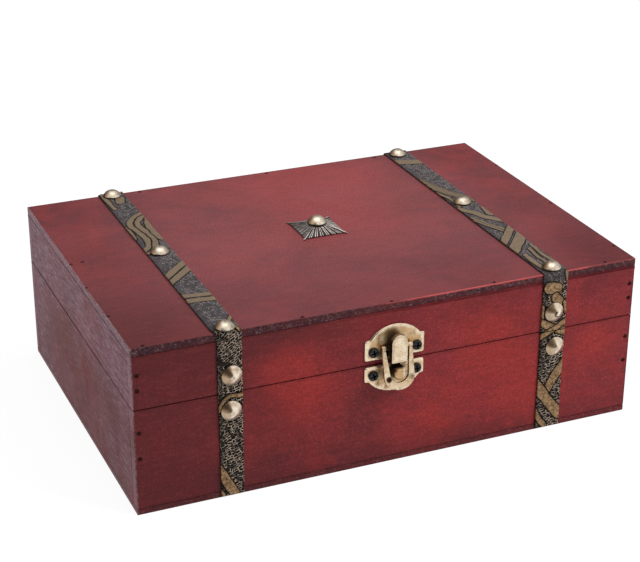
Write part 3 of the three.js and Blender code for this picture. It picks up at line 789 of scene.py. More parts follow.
def paintedTopShade(points):  # painted shade: the lid is darker towards its front and its ends
    x = points[:, 0] + 8 * drift(points, 18, 56)
    y = points[:, 1] + 10 * drift(points, 22, 57)
    front = 0.54 * smooth(-y, 0, 70)
    leftEnd = 0.5 * smooth(-x, 50, 104) * (0.4 + 0.6 * smooth(-y, -50, 50))
    rightEnd = 0.4 * smooth(x, 50, 100) * (0.1 + 0.9 * smooth(-y, -60, 0))
    return np.clip(front + leftEnd + rightEnd, 0, 1)


freshSpots = [  # middle, reach
    ((40, -77, 50), 16), ((12, 14, 72), 32), ((58, -77, 26), 20), ((8, 60, 72), 26), ((30, 55, 72), 22),
    ((-50, -77, 52), 12), ((-38, -77, 38), 16), ((20, -77, 20), 14), ((92, -77, 36), 10),
]


def freshness(points):  # where the wood is brighter
    total = np.zeros(len(points))
    for spot, reach in freshSpots:
        total += bell(np.linalg.norm(points - np.array(spot), axis=1), reach)
    return np.clip(total, 0, 1)


for node in boards:
    boardPiece(node)
print("boards: cut and worn")

# The straps. Places along a strap run from the middle of the lid to the front, in millimetres.
strapShape = {
    "step": 0.17,
    "ground": 0.66,
    "figure": 0.94,
    "vein": 0.16,
    "cell": (1.14, 2.0),
    "stray": 0.8,
    "veinWidth": 0.175,
    "slant": (32, 14),
    "ends": (0, 0.05, 0.14, 0.26, 0.4),
    "bend": 0.6,
    "edge": 0.4,
    "slim": (1.1, 0.5),  # how far the left strap's left side draws in at the fold, and on to the foot
    "figureWander": (0.35, 3.1),  # how far, and over what length
    "veinWander": (0.42, 1.9),
    "sideWander": (0.1, 6),
    "grooveDepth": 0.12,
    "strandDepth": 0.11,
    "sideDrop": 0.34,
    "under": 0.02,
    "foldSteps": 8,
}
strapFigures = {  # (points along and across, half width, distance between its lines or 0)
    "left": [
        ([(-152, -3), (-138, 1), (-124, 6)], 1.9, 0),
        ([(-121, -6), (-112, 0), (-107, 6)], 1.7, 0),
        ([(-99, -6), (-92, -1), (-84, 6)], 2.1, 1.8),
        ([(-76, -4.2), (-66, -4.3), (-57, -3.8)], 1.0, 0),
        ([(-69, 2.2), (-64, 0.8)], 2.2, 0),
        ([(-47, 7), (-43.5, 2.2), (-38, -1.2), (-29, -0.8), (-20, 0.4), (-11, -1.4), (-6, -5)], 2.9, 4.4),
        ([(-41, 6.4), (-34, 4.4), (-26, 4.2), (-17, 5.4)], 1.5, 0),
        ([(-35, -5.7), (-28, -5.2), (-21, -5.8)], 0.8, 0),
        ([(22.5, -7), (9, 7)], 1.75, 0),
        ([(28.4, -7), (15, 7)], 1.75, 0),
        ([(41.6, -7), (43.4, 7)], 1.6, 0),
        ([(46.4, -7), (48.2, 7)], 1.8, 0),
        ([(64, 7), (70, 3.4), (77, 4.6)], 0.8, 0),
        ([(111, -6), (106.4, -3.2), (104.8, 0.5), (105, 6)], 0.9, 0),
        ([(133.6, -9), (141, -3.9), (150, 1.6)], 2.2, 0),
        ([(144.6, -7.4), (151, -3)], 1.0, 0),
    ],
    "right": [
        ([(-152, 4), (-140, -2), (-128, -6)], 1.8, 0),
        ([(-122, 6), (-112, 0), (-106, -6)], 1.9, 1.7),
        ([(-98, 6), (-90, 0), (-82, -4)], 1.6, 0),
        ([(-62.5, -6), (-58.5, 7)], 2.6, 0),
        ([(-37, -7), (-24, -3.4), (-13, 1.6), (-5, 7)], 2.3, 1.5),
        ([(-20, -6), (-9, -3.5), (1, -4.6)], 0.8, 0),
        ([(2, -6), (8, -1.6), (15, 1.4), (21, 6.4)], 1.8, 0),
        ([(4, 5.8), (11, 4.4), (14, 6.8)], 1.3, 0),
        ([(14, -5.6), (22, -2.6), (31, 1.6)], 1.6, 2.0),
        ([(43.6, -6), (27.6, 7)], 1.9, 0),
        ([(52.6, -6), (36.6, 7)], 2.4, 0),
        ([(49.5, 4.4), (58, 3.6), (70, 4.4)], 0.9, 0),
        ([(53, 1.2), (62, 0.6), (72, 1.4)], 0.8, 0),
        ([(58, -3.4), (66, -3.8), (75, -2.6)], 1.2, 0),
        ([(83.8, -3), (84.6, 0.8)], 2.3, 0),
        ([(78, 5.2), (81, 5.6)], 0.9, 0),
        ([(88.2, 0.2), (91, 2.8)], 1.9, 0),
        ([(91.5, 5.2), (95.4, 5.6)], 0.9, 0),
        ([(92.2, -5.6), (97.5, -5.4)], 0.9, 0),
        ([(98.4, -7), (101.6, -1.6), (105.6, 7)], 1.7, 0),
        ([(106, -6.6), (102.8, 0.6), (99.8, 6.6)], 1.2, 0),
        ([(117.5, 8), (124, 3.2), (130.6, -1)], 2.0, 0),
        ([(126, -8), (135, -1.6), (144, 5.6)], 2.3, 0),
        ([(139.5, -7), (149, -1.4)], 1.3, 0),
    ],
}


def smoothLine(points, steps=8):  # a smooth line through points
    points = np.array([points[0], *points, points[-1]], float)
    line = []
    for a, b, c, d in zip(points, points[1:], points[2:], points[3:]):
        for share in np.arange(steps) / steps:
            square = (2 * a - 5 * b + 4 * c - d) * share ** 2
            cube = (3 * b - a - 3 * c + d) * share ** 3
            line.append(0.5 * (2 * b + (c - a) * share + square + cube))
    line.append(points[-1])
    return np.array(line)


def ribbonDistance(places, line):  # distance to a line, and which side of it
    best = np.full(len(places), 1e9)
    side = np.zeros(len(places))
    for start, end in zip(line, line[1:]):
        along = end - start
        length = np.dot(along, along) + 1e-9
        share = np.clip(((places - start) @ along) / length, 0, 1)
        gap = places - start - share[:, None] * along
        reach = np.linalg.norm(gap, axis=1)
        cross = along[0] * gap[:, 1] - along[1] * gap[:, 0]
        closer = reach < best
        best = np.where(closer, reach, best)
        side = np.where(closer, np.sign(cross) * reach, side)
    return best, side


def wandering(places, wander, seed):  # the places moved about smoothly
    amount, pitch = wander
    return amount * np.stack([drift(places, pitch, seed), drift(places, pitch, seed + 1)], -1)


def strapRelief(places, side):  # height over the strap's back, and what is painted where
    shape = strapShape
    seed = 20 if side == "left" else 60
    along, across = places.T
    figure, groove, strand, hem = np.zeros((4, len(places)))
    wavy = places + wandering(places, shape["figureWander"], seed)
    for points, half, pitch in strapFigures[side]:
        reach, cross = ribbonDistance(wavy, smoothLine(points))
        inside = 1 - smooth(reach, half - 0.12, half + 0.12)
        ring = 1 - smooth(np.abs(reach - half - 0.24), 0.1, 0.3)
        figure = np.maximum(figure * (1 - ring), inside)
        groove = np.maximum(groove * (1 - inside), ring)
        lines = inside * smooth(np.cos(cross / pitch * 2 * np.pi), 0.72, 0.95) if pitch else 0
        strand = np.where(inside > 0.5, lines, strand)
        hem = np.where(inside > 0.5, smooth(reach, half - 0.7, half), hem)
    high, low = np.radians(shape["slant"])
    angle = high + (low - high) * smooth(np.abs(along), 92, 106)
    turned = np.stack([along + np.tan(angle) * across, across - 0.4 * along], -1)
    turned += wandering(places, shape["veinWander"], seed + 2)
    toCell = cellEdges(turned, np.array(shape["cell"]), seed + 4, shape["stray"])
    broken = 0.1 + 0.9 * smooth(drift(places, 1.2, seed + 6), -0.6, 0.2)
    # painted sheen: the strap's top greyed as by a reflection
    paintedGreySheen = 1 - smooth(np.abs(along), 73, 76)
    if side == "right":  # smoother, with more painted grey sheen, where it turns over the lid's edge
        broken = broken * (1 - 0.5 * hump(along, 74, 76, 81, 83))
        paintedGreySheen = np.maximum(paintedGreySheen, 0.7 * hump(along, 70, 74, 80, 83))
    broken = broken * (1 - 0.6 * (1 - smooth(across + 5.7, 0.8, 3.0)))
    vein = (1 - smooth(toCell, 0, shape["veinWidth"])) * broken * (1 - figure) * (1 - groove)
    ground = shape["ground"] + shape["vein"] * vein
    height = ground + (shape["figure"] - ground) * figure
    height -= shape["grooveDepth"] * groove * (1 - figure) + shape["strandDepth"] * strand
    return height, {
        "figure": figure, "groove": groove, "strand": strand, "vein": vein, "hem": hem, "paintedGreySheen": paintedGreySheen,
    }


def strapPath(part):  # stations along a strap: place, foot of the leather (y, z), way out (y, z)
    low, high = cornersOf("lid_strap_left")
    innerY = high[1] - 1
    innerZ = high[2] - 1
    bend, step = strapShape["bend"], strapShape["step"]
    fold = innerY - bend
    turn = np.pi / 2 * (bend + 0.5)
    stations = []
    if part == "lid":  # up the back, round its fold and along half the top, then the same mirrored
        for z in np.linspace(low[2], innerZ - bend, round((innerZ - bend - low[2]) / step)):
            stations.append((-fold - turn - (innerZ - bend - z), innerY, z, 1, 0))
        for share in np.linspace(0, 1, strapShape["foldSteps"])[1:-1]:
            way = (math.cos(share * np.pi / 2), math.sin(share * np.pi / 2))
            place = -fold - turn * (1 - share)
            stations.append((place, fold + bend * way[0], innerZ - bend + bend * way[1], *way))
        for y in np.linspace(fold, 0, round(fold / step)):
            stations.append((-y, y, innerZ, 0, 1))
        stations += [(-place, -y, z, -outY, outZ) for place, y, z, outY, outZ in stations[-2::-1]]
    else:
        sign = -1 if part == "base_front" else 1
        foot, top = cornersOf(part + "_strap_left")
        for z in np.linspace(top[2], foot[2], round((top[2] - foot[2]) / step)):
            stations.append((-sign * (fold + turn + innerZ - bend - z), sign * innerY, z, sign, 0))
    return np.array(stations)


strapNames = {"lid": "overLid", "base_front": "downFront", "base_back": "downBack"}


def strapPiece(part, side):
    shape = strapShape
    node = part + "_strap_" + side
    low, high = cornersOf(node)
    half = (high[0] - low[0]) / 2
    stations = strapPath(part)
    ends = np.array(shape["ends"])
    inner = np.linspace(-half + ends[-1], half - ends[-1], round(2 * half / shape["step"]))
    across = np.concatenate([-half + ends[:-1], inner, half - ends[-2::-1]])
    along, over = np.meshgrid(stations[:, 0], across, indexing="ij")
    places = np.stack([along.ravel(), over.ravel()], -1)
    height, painted = strapRelief(places, side)
    toSide = np.clip(half - np.abs(places[:, 1]), 0, shape["edge"]) / shape["edge"]
    height = height - shape["sideDrop"] * (1 - np.sqrt(1 - (1 - toSide) ** 2))
    height = height.reshape(along.shape)
    amount, pitch = shape["sideWander"]
    wander = amount * (drift(places, pitch, 31) - 1).reshape(along.shape) * np.abs(over / half) ** 6
    x = (low[0] + high[0]) / 2 + over + wander * np.sign(over)
    if side == "left":
        slim = shape["slim"][0] * smooth(along, 72, 80) + shape["slim"][1] * smooth(along, 84, 140)
        x = x + slim * (half - over) / (2 * half)
    foot, way = stations[:, 1:3], stations[:, 3:5]
    outer = foot[:, None] + way[:, None] * height[..., None]
    under = foot + shape["under"] * way
    lowEnds = [np.column_stack([x[:, column], under])[:, None] for column in (-1, 0)]
    rings = np.concatenate([np.concatenate([x[..., None], outer], -1), *lowEnds], 1)
    points, faces = skin(rings)
    layers = {}
    for layer, values in painted.items():
        values = values.reshape(along.shape)
        layers[layer] = np.concatenate([values, np.zeros((len(values), 2))], 1).ravel()
    name = strapNames[part] + side.title() + "Strap"
    dress(outward(makePiece(name, points, faces, strapLeather, layers)), node)


for side, part in itertools.product(("left", "right"), strapNames):
    strapPiece(part, side)
print("straps: embossed and laid")

# The studs: thin pressed brass heads, nearly conical, with a small mark at the tip
studShape = {
    "rim": 0.3, "shank": 0.6, "sides": 96, "rings": 26,
    "tipDepth": 0.16, "tipRadius": 0.34, "dent": 0.035,
    "markPlace": (0.1, -0.06), "markRadius": 0.24, "markWidth": 0.1,  # shares of the head's radius
    "markedStud": "lid_front_stud_right", "mark": 1.0, "faintMark": 0.12,
}
studHeads = {  # radius, height, and how round the head is: 1 is a cone, 2 a dome
    "top": (4.05, 2.65, 2.6),
    "front": (4.3, 2.8, 1.5),
    "centre": (4.25, 3.0, 2.5),
}


def studReflections(head, flat, radius, marked):  # painted reflections: dark and warm wedges on the left of each head, with a ring mark near the tip of front heads
    x, y = flat[:, 0] / radius, flat[:, 1] / radius
    share = np.hypot(x, y)
    angle = np.degrees(np.arctan2(y, x)) % 360
    if head == "front":
        dark = 0.62 * hump(angle, 92, 116, 132, 192) + 0.14 * hump(angle, 150, 190, 230, 270)
        warm = 0.8 * hump(angle, 84, 112, 158, 186) + 0.6 * hump(angle, 150, 194, 222, 266)
        x, y = x - studShape["markPlace"][0], y - studShape["markPlace"][1]
        ring = bell(np.hypot(x, y) - studShape["markRadius"], studShape["markWidth"])
        ring = ring * hump(np.degrees(np.arctan2(y, x)) % 360, 76, 104, 286, 314)
        return dark * smooth(share, 0.04, 0.36) + marked * ring, warm * smooth(share, 0.02, 0.36)
    # painted reflections on the top heads: dark on the left and over all but the front of the dome, warmer
    # on the left and back
    left = -0.92 * x + 0.39 * y
    back = 0.39 * x + 0.92 * y
    inFront = smooth(back, -0.8, -0.3) * (1 - 0.4 * smooth(left, 0.2, 0.8))
    dark = 0.5 * smooth(left, 0.35, 0.9) + 0.5 * inFront
    warm = 0.85 * smooth(left, 0.1, 0.6) + 0.35 * smooth(back, -0.4, 0.5)
    return dark, warm


def studPiece(node, head, name):
    low, high = cornersOf(node)
    radius, rise, swell = studHeads[head]
    facingSide = "front" if head == "front" else "up"
    crown = rise - studShape["rim"]
    length = (high - low)[2 if facingSide == "up" else 1] - rise
    shank = studShape["shank"]
    profile = [(0, -length), (shank, -length + 0.8), (shank, 0), (radius - 0.3, 0)]
    profile += [(radius - 0.06, 0.04), (radius, 0.14), (radius - 0.03, 0.26)]
    for share in np.linspace(0.985, 0.03, studShape["rings"]):
        height = studShape["rim"] + crown * (1 - share ** swell)
        height -= studShape["tipDepth"] * bell(share * radius, studShape["tipRadius"])
        profile.append((radius * share, height))
    rings = turnedRings(profile, studShape["sides"])
    base = (low + high) / 2
    if head == "front":
        base[1] = low[1] + rise
    else:
        base[2] = high[2] - rise
    seed = int(abs(base[0]) + abs(base[1]) + base[2])
    flat = rings.reshape(-1, 3)
    level = flat[:, 2].copy()
    dent = drift(flat, 1.5, seed + 2) * smooth(level, 0.3, 0.8)
    flat[:, 2] -= studShape["dent"] * (1 + dent) * smooth(level, 0.3, 0.8)
    points, faces = skin(turnTo(rings, facingSide, base))
    blot = smooth(drift(points, 1.9, seed) + 0.4 * drift(points, 0.8, seed + 1), 0.1, 0.9)
    tip = bell(np.hypot(flat[:, 0], flat[:, 1]), 0.4)
    wavy = flat[:, :2] + wandering(points, (0.3, 1.7), seed + 3)
    marked = studShape["mark" if node == studShape["markedStud"] else "faintMark"]
    darkReflectionAndMark, warm = studReflections(head, wavy, radius, marked)
    # painted shade round the foot of the head and its rim
    stainAndShade = 0.85 * (1 - smooth(level, 0.08, 0.5)) + 0.22 * blot
    stainAndShade += 0.6 * tip * (level > 1) + darkReflectionAndMark * (level > 0.2)
    painted = {
        "stainAndShade": np.clip(stainAndShade, 0, 1),
        "warm": np.clip(warm, 0, 1),
        "rub": smooth(level, 1.2, 2.2) * 0.6 * (1 - tip) * np.clip(1 - warm - darkReflectionAndMark, 0, 1),
    }
    piece = outward(makePiece(name, points, faces, metals["studBrass"], painted))
    dress(piece, node)


studSpots = {
    "lid_top_back": "top",
    "lid_top_middle": "top",
    "lid_top_fold": "top",
    "lid_front": "front",
    "base_front": "front",
}
for side, (spot, head) in itertools.product(("left", "right"), studSpots.items()):
    words = "".join(word.title() for word in spot.split("_"))
    studPiece(f"{spot}_stud_{side}", head, "dome" + words + side.title())
studPiece("ornament_stud", "centre", "domeOrnament")
print("studs: driven")

# The ornament: a square rosette pressed with flutes
ornamentShape = {
    "half": 9.6, "rise": 2.9, "edge": 0.5, "seat": 3.4, "flutes": 7, "steps": 18, "rings": 18,
    "depth": 0.75, "scallop": 0.6, "corner": 0.9, "crimp": 1.0,
    "paintedLightBySide": (0.42, 0.4, 0.1, 1.0), "soot": (0.26, 0.4, 0.72, 0.0),  # painted light and painted shade on the right, back, left and front sides
}


def ornamentPiece():
    low, high = cornersOf("ornament_plate")
    shape = ornamentShape
    perSide = shape["flutes"] * shape["steps"]
    turn = np.repeat(np.arange(4) * np.pi / 2, perSide)
    along = np.tile(np.arange(perSide) / perSide * 2 - 1, 4)
    wave = np.cos(along * np.pi * shape["flutes"])
    ridge = ((1 - wave) / 2) ** 1.3
    crimp = bell(np.abs(along) * shape["flutes"] % 2 - 1, 0.25)
    ridge = ridge - shape["crimp"] * crimp
    pull = shape["corner"] * np.abs(along) ** 12
    reach = shape["half"] + pull - shape["scallop"] * (1 - ridge)
    flat = np.stack([reach, along * (shape["half"] + pull)], -1)
    aside = np.stack([-flat[:, 1], flat[:, 0]], -1)
    rim = flat * np.cos(turn)[:, None] + aside * np.sin(turn)[:, None]
    seat = rim / np.linalg.norm(rim, axis=1)[:, None] * shape["seat"]
    rings = [np.column_stack([seat * 0.05, np.full(len(rim), shape["rise"])])]
    rub = [np.zeros(len(rim))]
    for share in np.linspace(0, 1, shape["rings"]):
        spot = seat + (rim - seat) * share
        fall = shape["rise"] + (shape["edge"] - shape["rise"]) * share ** 0.9
        height = fall + shape["depth"] * min(1, share * 2.2) * (1 - 0.45 * share) * (ridge - 0.35)
        rings.append(np.column_stack([spot, height]))
        tips = smooth(np.abs(along), 0.88, 0.97) * smooth(share, 0.5, 0.8)
        rub.append(np.maximum(smooth(ridge, 0.4, 0.62) * min(1, 0.3 + share), tips))
    rings.append(np.column_stack([rim * 0.995, rings[-1][:, 2] * 0.4]))
    rub.append(rub[-1] * 0.5)
    for scale, height in ((0.99, 0.02), (0.05, 0.02)):
        rings.append(np.column_stack([rim * scale, np.full(len(rim), height)]))
        rub.append(np.zeros(len(rim)))
    rings = np.array(rings)
    centre = (low + high) / 2
    points, faces = skin(rings + np.array([centre[0], centre[1], low[2]]))
    rub = np.array(rub) * np.repeat(shape["paintedLightBySide"], perSide)
    stainAndShade = np.tile(1 - smooth(ridge, 0.22, 0.48), (len(rings), 1)) * (rub < 0.4)
    stainAndShade = np.maximum(stainAndShade, np.repeat(shape["soot"], perSide))
    noise = 0.88 + 0.12 * drift(points, 1.2, 5)
    painted = {"rub": rub.ravel() * noise, "stainAndShade": stainAndShade.ravel() * 0.9}
    piece = makePiece("fluteOrnament", points, faces, metals["darkPewter"], painted)
    dress(outward(piece), "ornament_plate")


ornamentPiece()
print("ornament: pressed")

# Screws: domed heads with a cross recess
screwShapes = {
    "front": {"radius": 2.15, "height": 1.3, "half": 0.27, "long": 1.35, "deep": 0.85},
    "back": {"radius": 1.6, "height": 1.0, "half": 0.22, "long": 1.0, "deep": 0.6},
}


def screwPiece(node, facingSide, name, finish):
    low, high = cornersOf(node)
    shape = screwShapes[facingSide]
    radius, height = shape["radius"], shape["height"]
    crown = []
    for r in np.linspace(0.01, radius * 0.95, 26):
        dome = math.sqrt(1 - (r / radius) ** 2.4)
        crown.append((r, height * (0.42 + 0.58 * dome)))
    crown += [(radius * 0.99, height * 0.4), (radius, height * 0.28), (radius, 0.02)]
    crown += [(0.8, 0.0), (0.8, -3.4), (0.01, -4.2)]
    rings = turnedRings(crown, 72)
    turn = 0.5 * (scatter(np.array([[round(low[0]), round(low[2])]]), 4)[0] - 0.5) + 0.12
    a = np.abs(rings[..., 0] * math.cos(turn) + rings[..., 1] * math.sin(turn))
    b = np.abs(rings[..., 1] * math.cos(turn) - rings[..., 0] * math.sin(turn))

    def recess(across, along):
        inWidth = 1 - smooth(across, shape["half"] - 0.06, shape["half"] + 0.08)
        return inWidth * (1 - smooth(along, shape["long"] - 0.1, shape["long"] + 0.1))

    arms = np.where(rings[..., 2] > height * 0.45, np.maximum(recess(a, b), recess(b, a)), 0)
    rings[..., 2] -= arms * shape["deep"]
    base = (low + high) / 2
    base[1] = low[1] + height if facingSide == "front" else high[1] - height
    points, faces = skin(turnTo(rings, facingSide, base))
    rub = 0.5 * smooth(rings[..., 2], height * 0.8, height) * (1 - arms)
    piece = makePiece(name, points, faces, finish, {"stainAndShade": arms.ravel(), "rub": rub.ravel()})
    dress(outward(piece), node)


for part, side in itertools.product(("catch", "keeper"), ("left", "right")):
    name = part + "Screw" + side.title()
    screwPiece(f"{part}_screw_{side}", "front", name, metals["blackSteel"])
for part, side, place in itertools.product(("base", "lid"), ("left", "right"), ("a", "b")):
    name = "hingeScrew" + part.title() + side.title() + place.upper()
    screwPiece(f"hinge_{part}_screw_{side}_{place}", "back", name, metals["hingeBrass"])
print("screws: driven")

# The latch: catch plate with its hook, keeper plate with its lip, and the hasp
latchShape = {
    "x": -1.0, "back": -77.1, "thick": 0.8, "halfWidth": 13.1, "arch": 14.2, "corner": 1.2,
    "catchZ": 48.0, "catchEar": 9.3, "catchRise": 0.5,
    "keeperZ": 45.4, "keeperEar": 7.0, "keeperRise": -1.8,
    "hookHalf": 3.45, "hookTop": 12.1, "hookBack": 3.35, "hookFront": 5.5, "hookDrop": 0.4,
    "panelGroove": 0.14,
    "slotGap": 0.4, "slotTop": 9.4, "slotFloor": 0.25,
    "lipHalf": 2.5, "lipTop": 45.6, "lipLength": 5.45, "lipBack": 5.1, "lipFront": 6.3,
    "rimLevels": (  # how far in from the outline, how high
        (0.1, 0.02), (0, 0.1), (0, 0.3), (0.1, 0.44), (0.4, 0.68), (0.55, 0.77), (0.66, 0.8), (0.8, 0.8),
    ),
}
wall = -77  # the front face of the box


def earedOutline(ear, rise):  # straight at its foot and its ears, arched at its top
    half, radius = latchShape["halfWidth"], latchShape["arch"]
    start = math.degrees(math.asin((ear - rise) / radius))
    foot = rounded([(-half, ear), (-half, 0), (half, 0), (half, ear)], latchShape["corner"])[2:-2]
    return foot + arc((0, rise), radius, start, 180 - start, 49)


def tongueOutline(half, height):  # flat at its foot, round at its top
    foot = [(-half + 0.6, 0), (-0.5 * half, 0), (0, 0), (0.5 * half, 0), (half - 0.6, 0)]
    foot += [(half - 0.15, 0.15), (half, 0.6)]
    return foot + arc((0, height - half), half, 0, 180, 25) + [(-half, 0.6), (-half + 0.15, 0.15)]


def latchPart(name, rings):
    points, faces = skin(rings)
    return outward(makePiece(name, points, faces, metals["paleBrass"]))


def bar(name, low, high, bevel):  # a block with eased edges
    middle = (np.array(high) + low) / 2
    x, y, z = (np.array(high) - low) / 2
    outline = rounded([(-x, -y), (x, -y), (x, y), (-x, y)], bevel * 1.6)
    levels = [(bevel, -z), (bevel * 0.3, -z + bevel * 0.3), (0, -z + bevel)]
    levels += [(amount, -height) for amount, height in levels[::-1]]
    return latchPart(name, pressed(outline, levels, "up", middle))


def refine(piece, longest=0.6):  # more points on wide flat faces, so that they can be painted
    closest = 0.003 * mm
    shape = bmesh.new()
    shape.from_mesh(piece.data)
    bmesh.ops.remove_doubles(shape, verts=shape.verts, dist=closest)
    bmesh.ops.dissolve_degenerate(shape, edges=shape.edges, dist=closest)
    for turn in range(7):
        bmesh.ops.triangulate(shape, faces=shape.faces)
        wide = [edge for edge in shape.edges if edge.calc_length() > longest * mm]
        if not wide:
            break
        bmesh.ops.subdivide_edges(shape, edges=wide, cuts=1)
    bmesh.ops.triangulate(shape, faces=shape.faces)
    shape.to_mesh(piece.data)
    shape.free()
    return piece


def paint(piece, stainAt):  # stains, shades and rubs a fused piece by place
    points = np.zeros(len(piece.data.vertices) * 3)
    piece.data.vertices.foreach_get("co", points)
    points = points.reshape(-1, 3) / mm
    storeLayers(piece.data, stainAt(points))
    return piece


def latchStainAndShade(points):  # stains and painted shade of the catch plate and of the keeper plate
    shape = latchShape
    x, z = points[:, 0] - shape["x"], points[:, 2]
    side = np.abs(x)
    depth = wall - points[:, 1]
    upper = z > 46.7  # on the catch plate
    lowDown = 1 - smooth(depth, 0.95, 1.6)  # on the plates, not on the hook or the lip
    left = 1 - smooth(x, -1, 2)
    blot = smooth(drift(points, 2.4, 3) + 0.6 * drift(points, 1.1, 4), 0.1, 1.0)
    mottled = smooth(drift(points, 1.2, 9) + 0.5 * drift(points, 0.6, 10), 0, 0.9)

    # Painted shade behind the hook, between the hook and the lip, and between the hook and the left arm
    fromHook = np.hypot(x + 0.4, z - np.clip(z, 47.6, 56.25)) + 0.5 * drift(points, 1.6, 5)
    fromLip = np.hypot(x, z - np.clip(z, 42.65, 60))
    aboveLeft = 1 - smooth(x - 0.5 * (z - 56), -4.2, -0.4)
    behindHook = 0.2 * aboveLeft * (1 - smooth(fromHook, 4.2, 5.4)) + 0.05 * (1 - smooth(fromHook, 5, 8.5))
    behind = np.where(z < 46.4, 0.85 * (1 - smooth(fromLip, 3.0, 4.2)), behindHook)
    between = left * (1 - smooth(side, 4.9, 5.6)) * hump(z, 40, 43, 51, 54)

    # Inwards from the plates' rims, which are rubbed bright
    toRim = shape["arch"] - np.hypot(side, z - np.where(upper, 48.5, 47.2))
    toRim = np.minimum(toRim, shape["halfWidth"] - side)
    toRim = np.minimum(toRim, np.where(upper, z - shape["catchZ"], shape["keeperZ"] - z))
    toRim = toRim + 0.35 * drift(points, 1.8, 6)
    patina = lowDown * smooth(toRim, 0.9, 2.0) * (0.7 + 0.4 * drift(points, 2.6, 7))
    # painted shadow beside the left screws
    gutter = (x < 0) * bell(side - 7.3, 1.0)

    # The hook and the lip, with painted shade in the slot, on the walls and flanks, along the groove, round
    # the lip, in its notch and at its root
    trough = (1 - smooth(depth, 0.5, 0.8)) * (1 - smooth(side, 4.1, 4.5)) * smooth(z, 48, 49)
    walls = hump(depth, 1.2, 1.8, shape["lipBack"] - 0.2, shape["lipBack"] + 0.4)
    flank = smooth(side, 3.0, 3.4) * hump(depth, 3, 3.3, 4.9, 5.4)
    groove = bell(depth - shape["hookFront"] + shape["panelGroove"], 0.08) * smooth(z, 47, 48)
    groove = groove * (0.25 + 0.75 * smooth(z - 53 - 0.8 * x, -2.5, 2.5))
    lipRim = smooth(fromLip, 1.9, 2.4) * (1 - smooth(x + 0.4 * (z - 42), -0.5, 1.2)) * (z < 45.8)
    notch = 1 - smooth(np.hypot(x + 1.9, z - 44.6), 0.4, 0.9)
    lipRoot = hump(z, 44.9, 45.5, 45.8, 46.4) * smooth(depth, 4, 5)
    hookFace = smooth(depth, 5.2, 5.4)
    lipFace = (z < 45.8) * smooth(depth, 5.2, 5.6) * (1 - smooth(x, 0.8, 1.8))

    onPlates = behind + 0.9 * between + 0.25 * blot * smooth(toRim, 0.5, 1.2)
    onPlates += smooth(toRim, 0.5, 1.6) * (0.2 * mottled + 0.4 * gutter)
    stainAndShade = lowDown * onPlates + 0.12 * trough + walls * np.where(upper, 0.5, 1.0)
    stainAndShade += (0.25 + 0.4 * left) * flank + 0.3 * groove + 0.8 * lipRoot
    stainAndShade += (0.7 * notch + 0.6 * lipRim) * (depth > 4)
    warm = patina * np.where(upper, 1.0, 0.6) + 0.7 * lipFace
    warm += 0.4 * hookFace * smooth(drift(points, 1.5, 8), -0.3, 0.7)
    return {
        "stainAndShade": np.clip(stainAndShade + 0.1 * blot, 0, 1),
        "warm": np.clip(warm, 0, 1),
        "rub": 0.5 * hookFace * (1 - lipFace) + 0.8 * lowDown * (1 - smooth(toRim, 0.5, 1.3)),
    }


def catchPiece():
    x, back, z = latchShape["x"], latchShape["back"], latchShape["catchZ"]
    outline = earedOutline(latchShape["catchEar"], latchShape["catchRise"])
    plate = latchPart("catchPlate", pressed(outline, latchShape["rimLevels"], "front", (x, back, z)))
    slot = tongueOutline(latchShape["hookHalf"] + latchShape["slotGap"], latchShape["slotTop"])
    levels = [(0, latchShape["slotFloor"]), (0, 2)]
    hole = latchPart("slot", pressed(slot, levels, "front", (x, back, z + 0.9)))
    fuse(plate, [hole], "DIFFERENCE", True)
    outline = tongueOutline(latchShape["hookHalf"], latchShape["hookTop"])
    deepest, front = latchShape["hookBack"], latchShape["hookFront"]
    groove = front - latchShape["panelGroove"]
    levels = [(0.3, deepest), (0.08, deepest + 0.08), (0, deepest + 0.3), (0, front - 0.5)]
    levels += [(0.06, front - 0.2), (0.2, front - 0.06), (0.42, front - 0.05), (0.55, front - 0.12)]
    levels += [(0.66, groove), (0.8, groove), (0.94, front - 0.1), (1.08, front - 0.01), (1.25, front)]
    half = latchShape["hookHalf"]
    spine = (half, latchShape["hookTop"] - half, half)
    place = (x, wall, z - latchShape["hookDrop"])
    hook = latchPart("hook", pressed(outline, levels, "front", place, spine))
    half -= 0.35
    web = bar("web", (x - half, wall - deepest - 0.5, z + 0.3), (x + half, back - 0.12, z + 3.9), 0.25)
    fuse(plate, [hook, web])
    dress(crease(paint(refine(plate), latchStainAndShade), 40), "latch_catch_plate")


def keeperPiece():
    x, back, z = latchShape["x"], latchShape["back"], latchShape["keeperZ"]
    outline = [(a, -b) for a, b in earedOutline(latchShape["keeperEar"], latchShape["keeperRise"])][::-1]
    plate = latchPart("keeperPlate", pressed(outline, latchShape["rimLevels"], "front", (x, back, z)))
    outline = [(a, -b) for a, b in tongueOutline(latchShape["lipHalf"], latchShape["lipLength"])][::-1]
    deepest, front = latchShape["lipBack"], latchShape["lipFront"]
    levels = [(0.3, deepest), (0.06, deepest + 0.1), (0, deepest + 0.3), (0, front - 0.62)]
    levels += [(0.08, front - 0.42), (0.3, front - 0.24), (0.7, front - 0.12), (1.2, front - 0.04)]
    levels += [(1.8, front), (2.0, front)]
    half = latchShape["lipHalf"]
    spine = (half - latchShape["lipLength"], -half, half)
    lip = latchPart("lip", pressed(outline, levels, "front", (x, wall, latchShape["lipTop"]), spine))
    half -= 0.4
    top = latchShape["lipTop"] - 0.42
    web = bar("web", (x - half, wall - deepest - 0.5, top - 1.1),
              (x + half, back - latchShape["thick"] * 0.5, top), 0.25)
    fuse(plate, [lip, web])
    dress(crease(paint(refine(plate), latchStainAndShade), 40), "latch_keeper_plate")


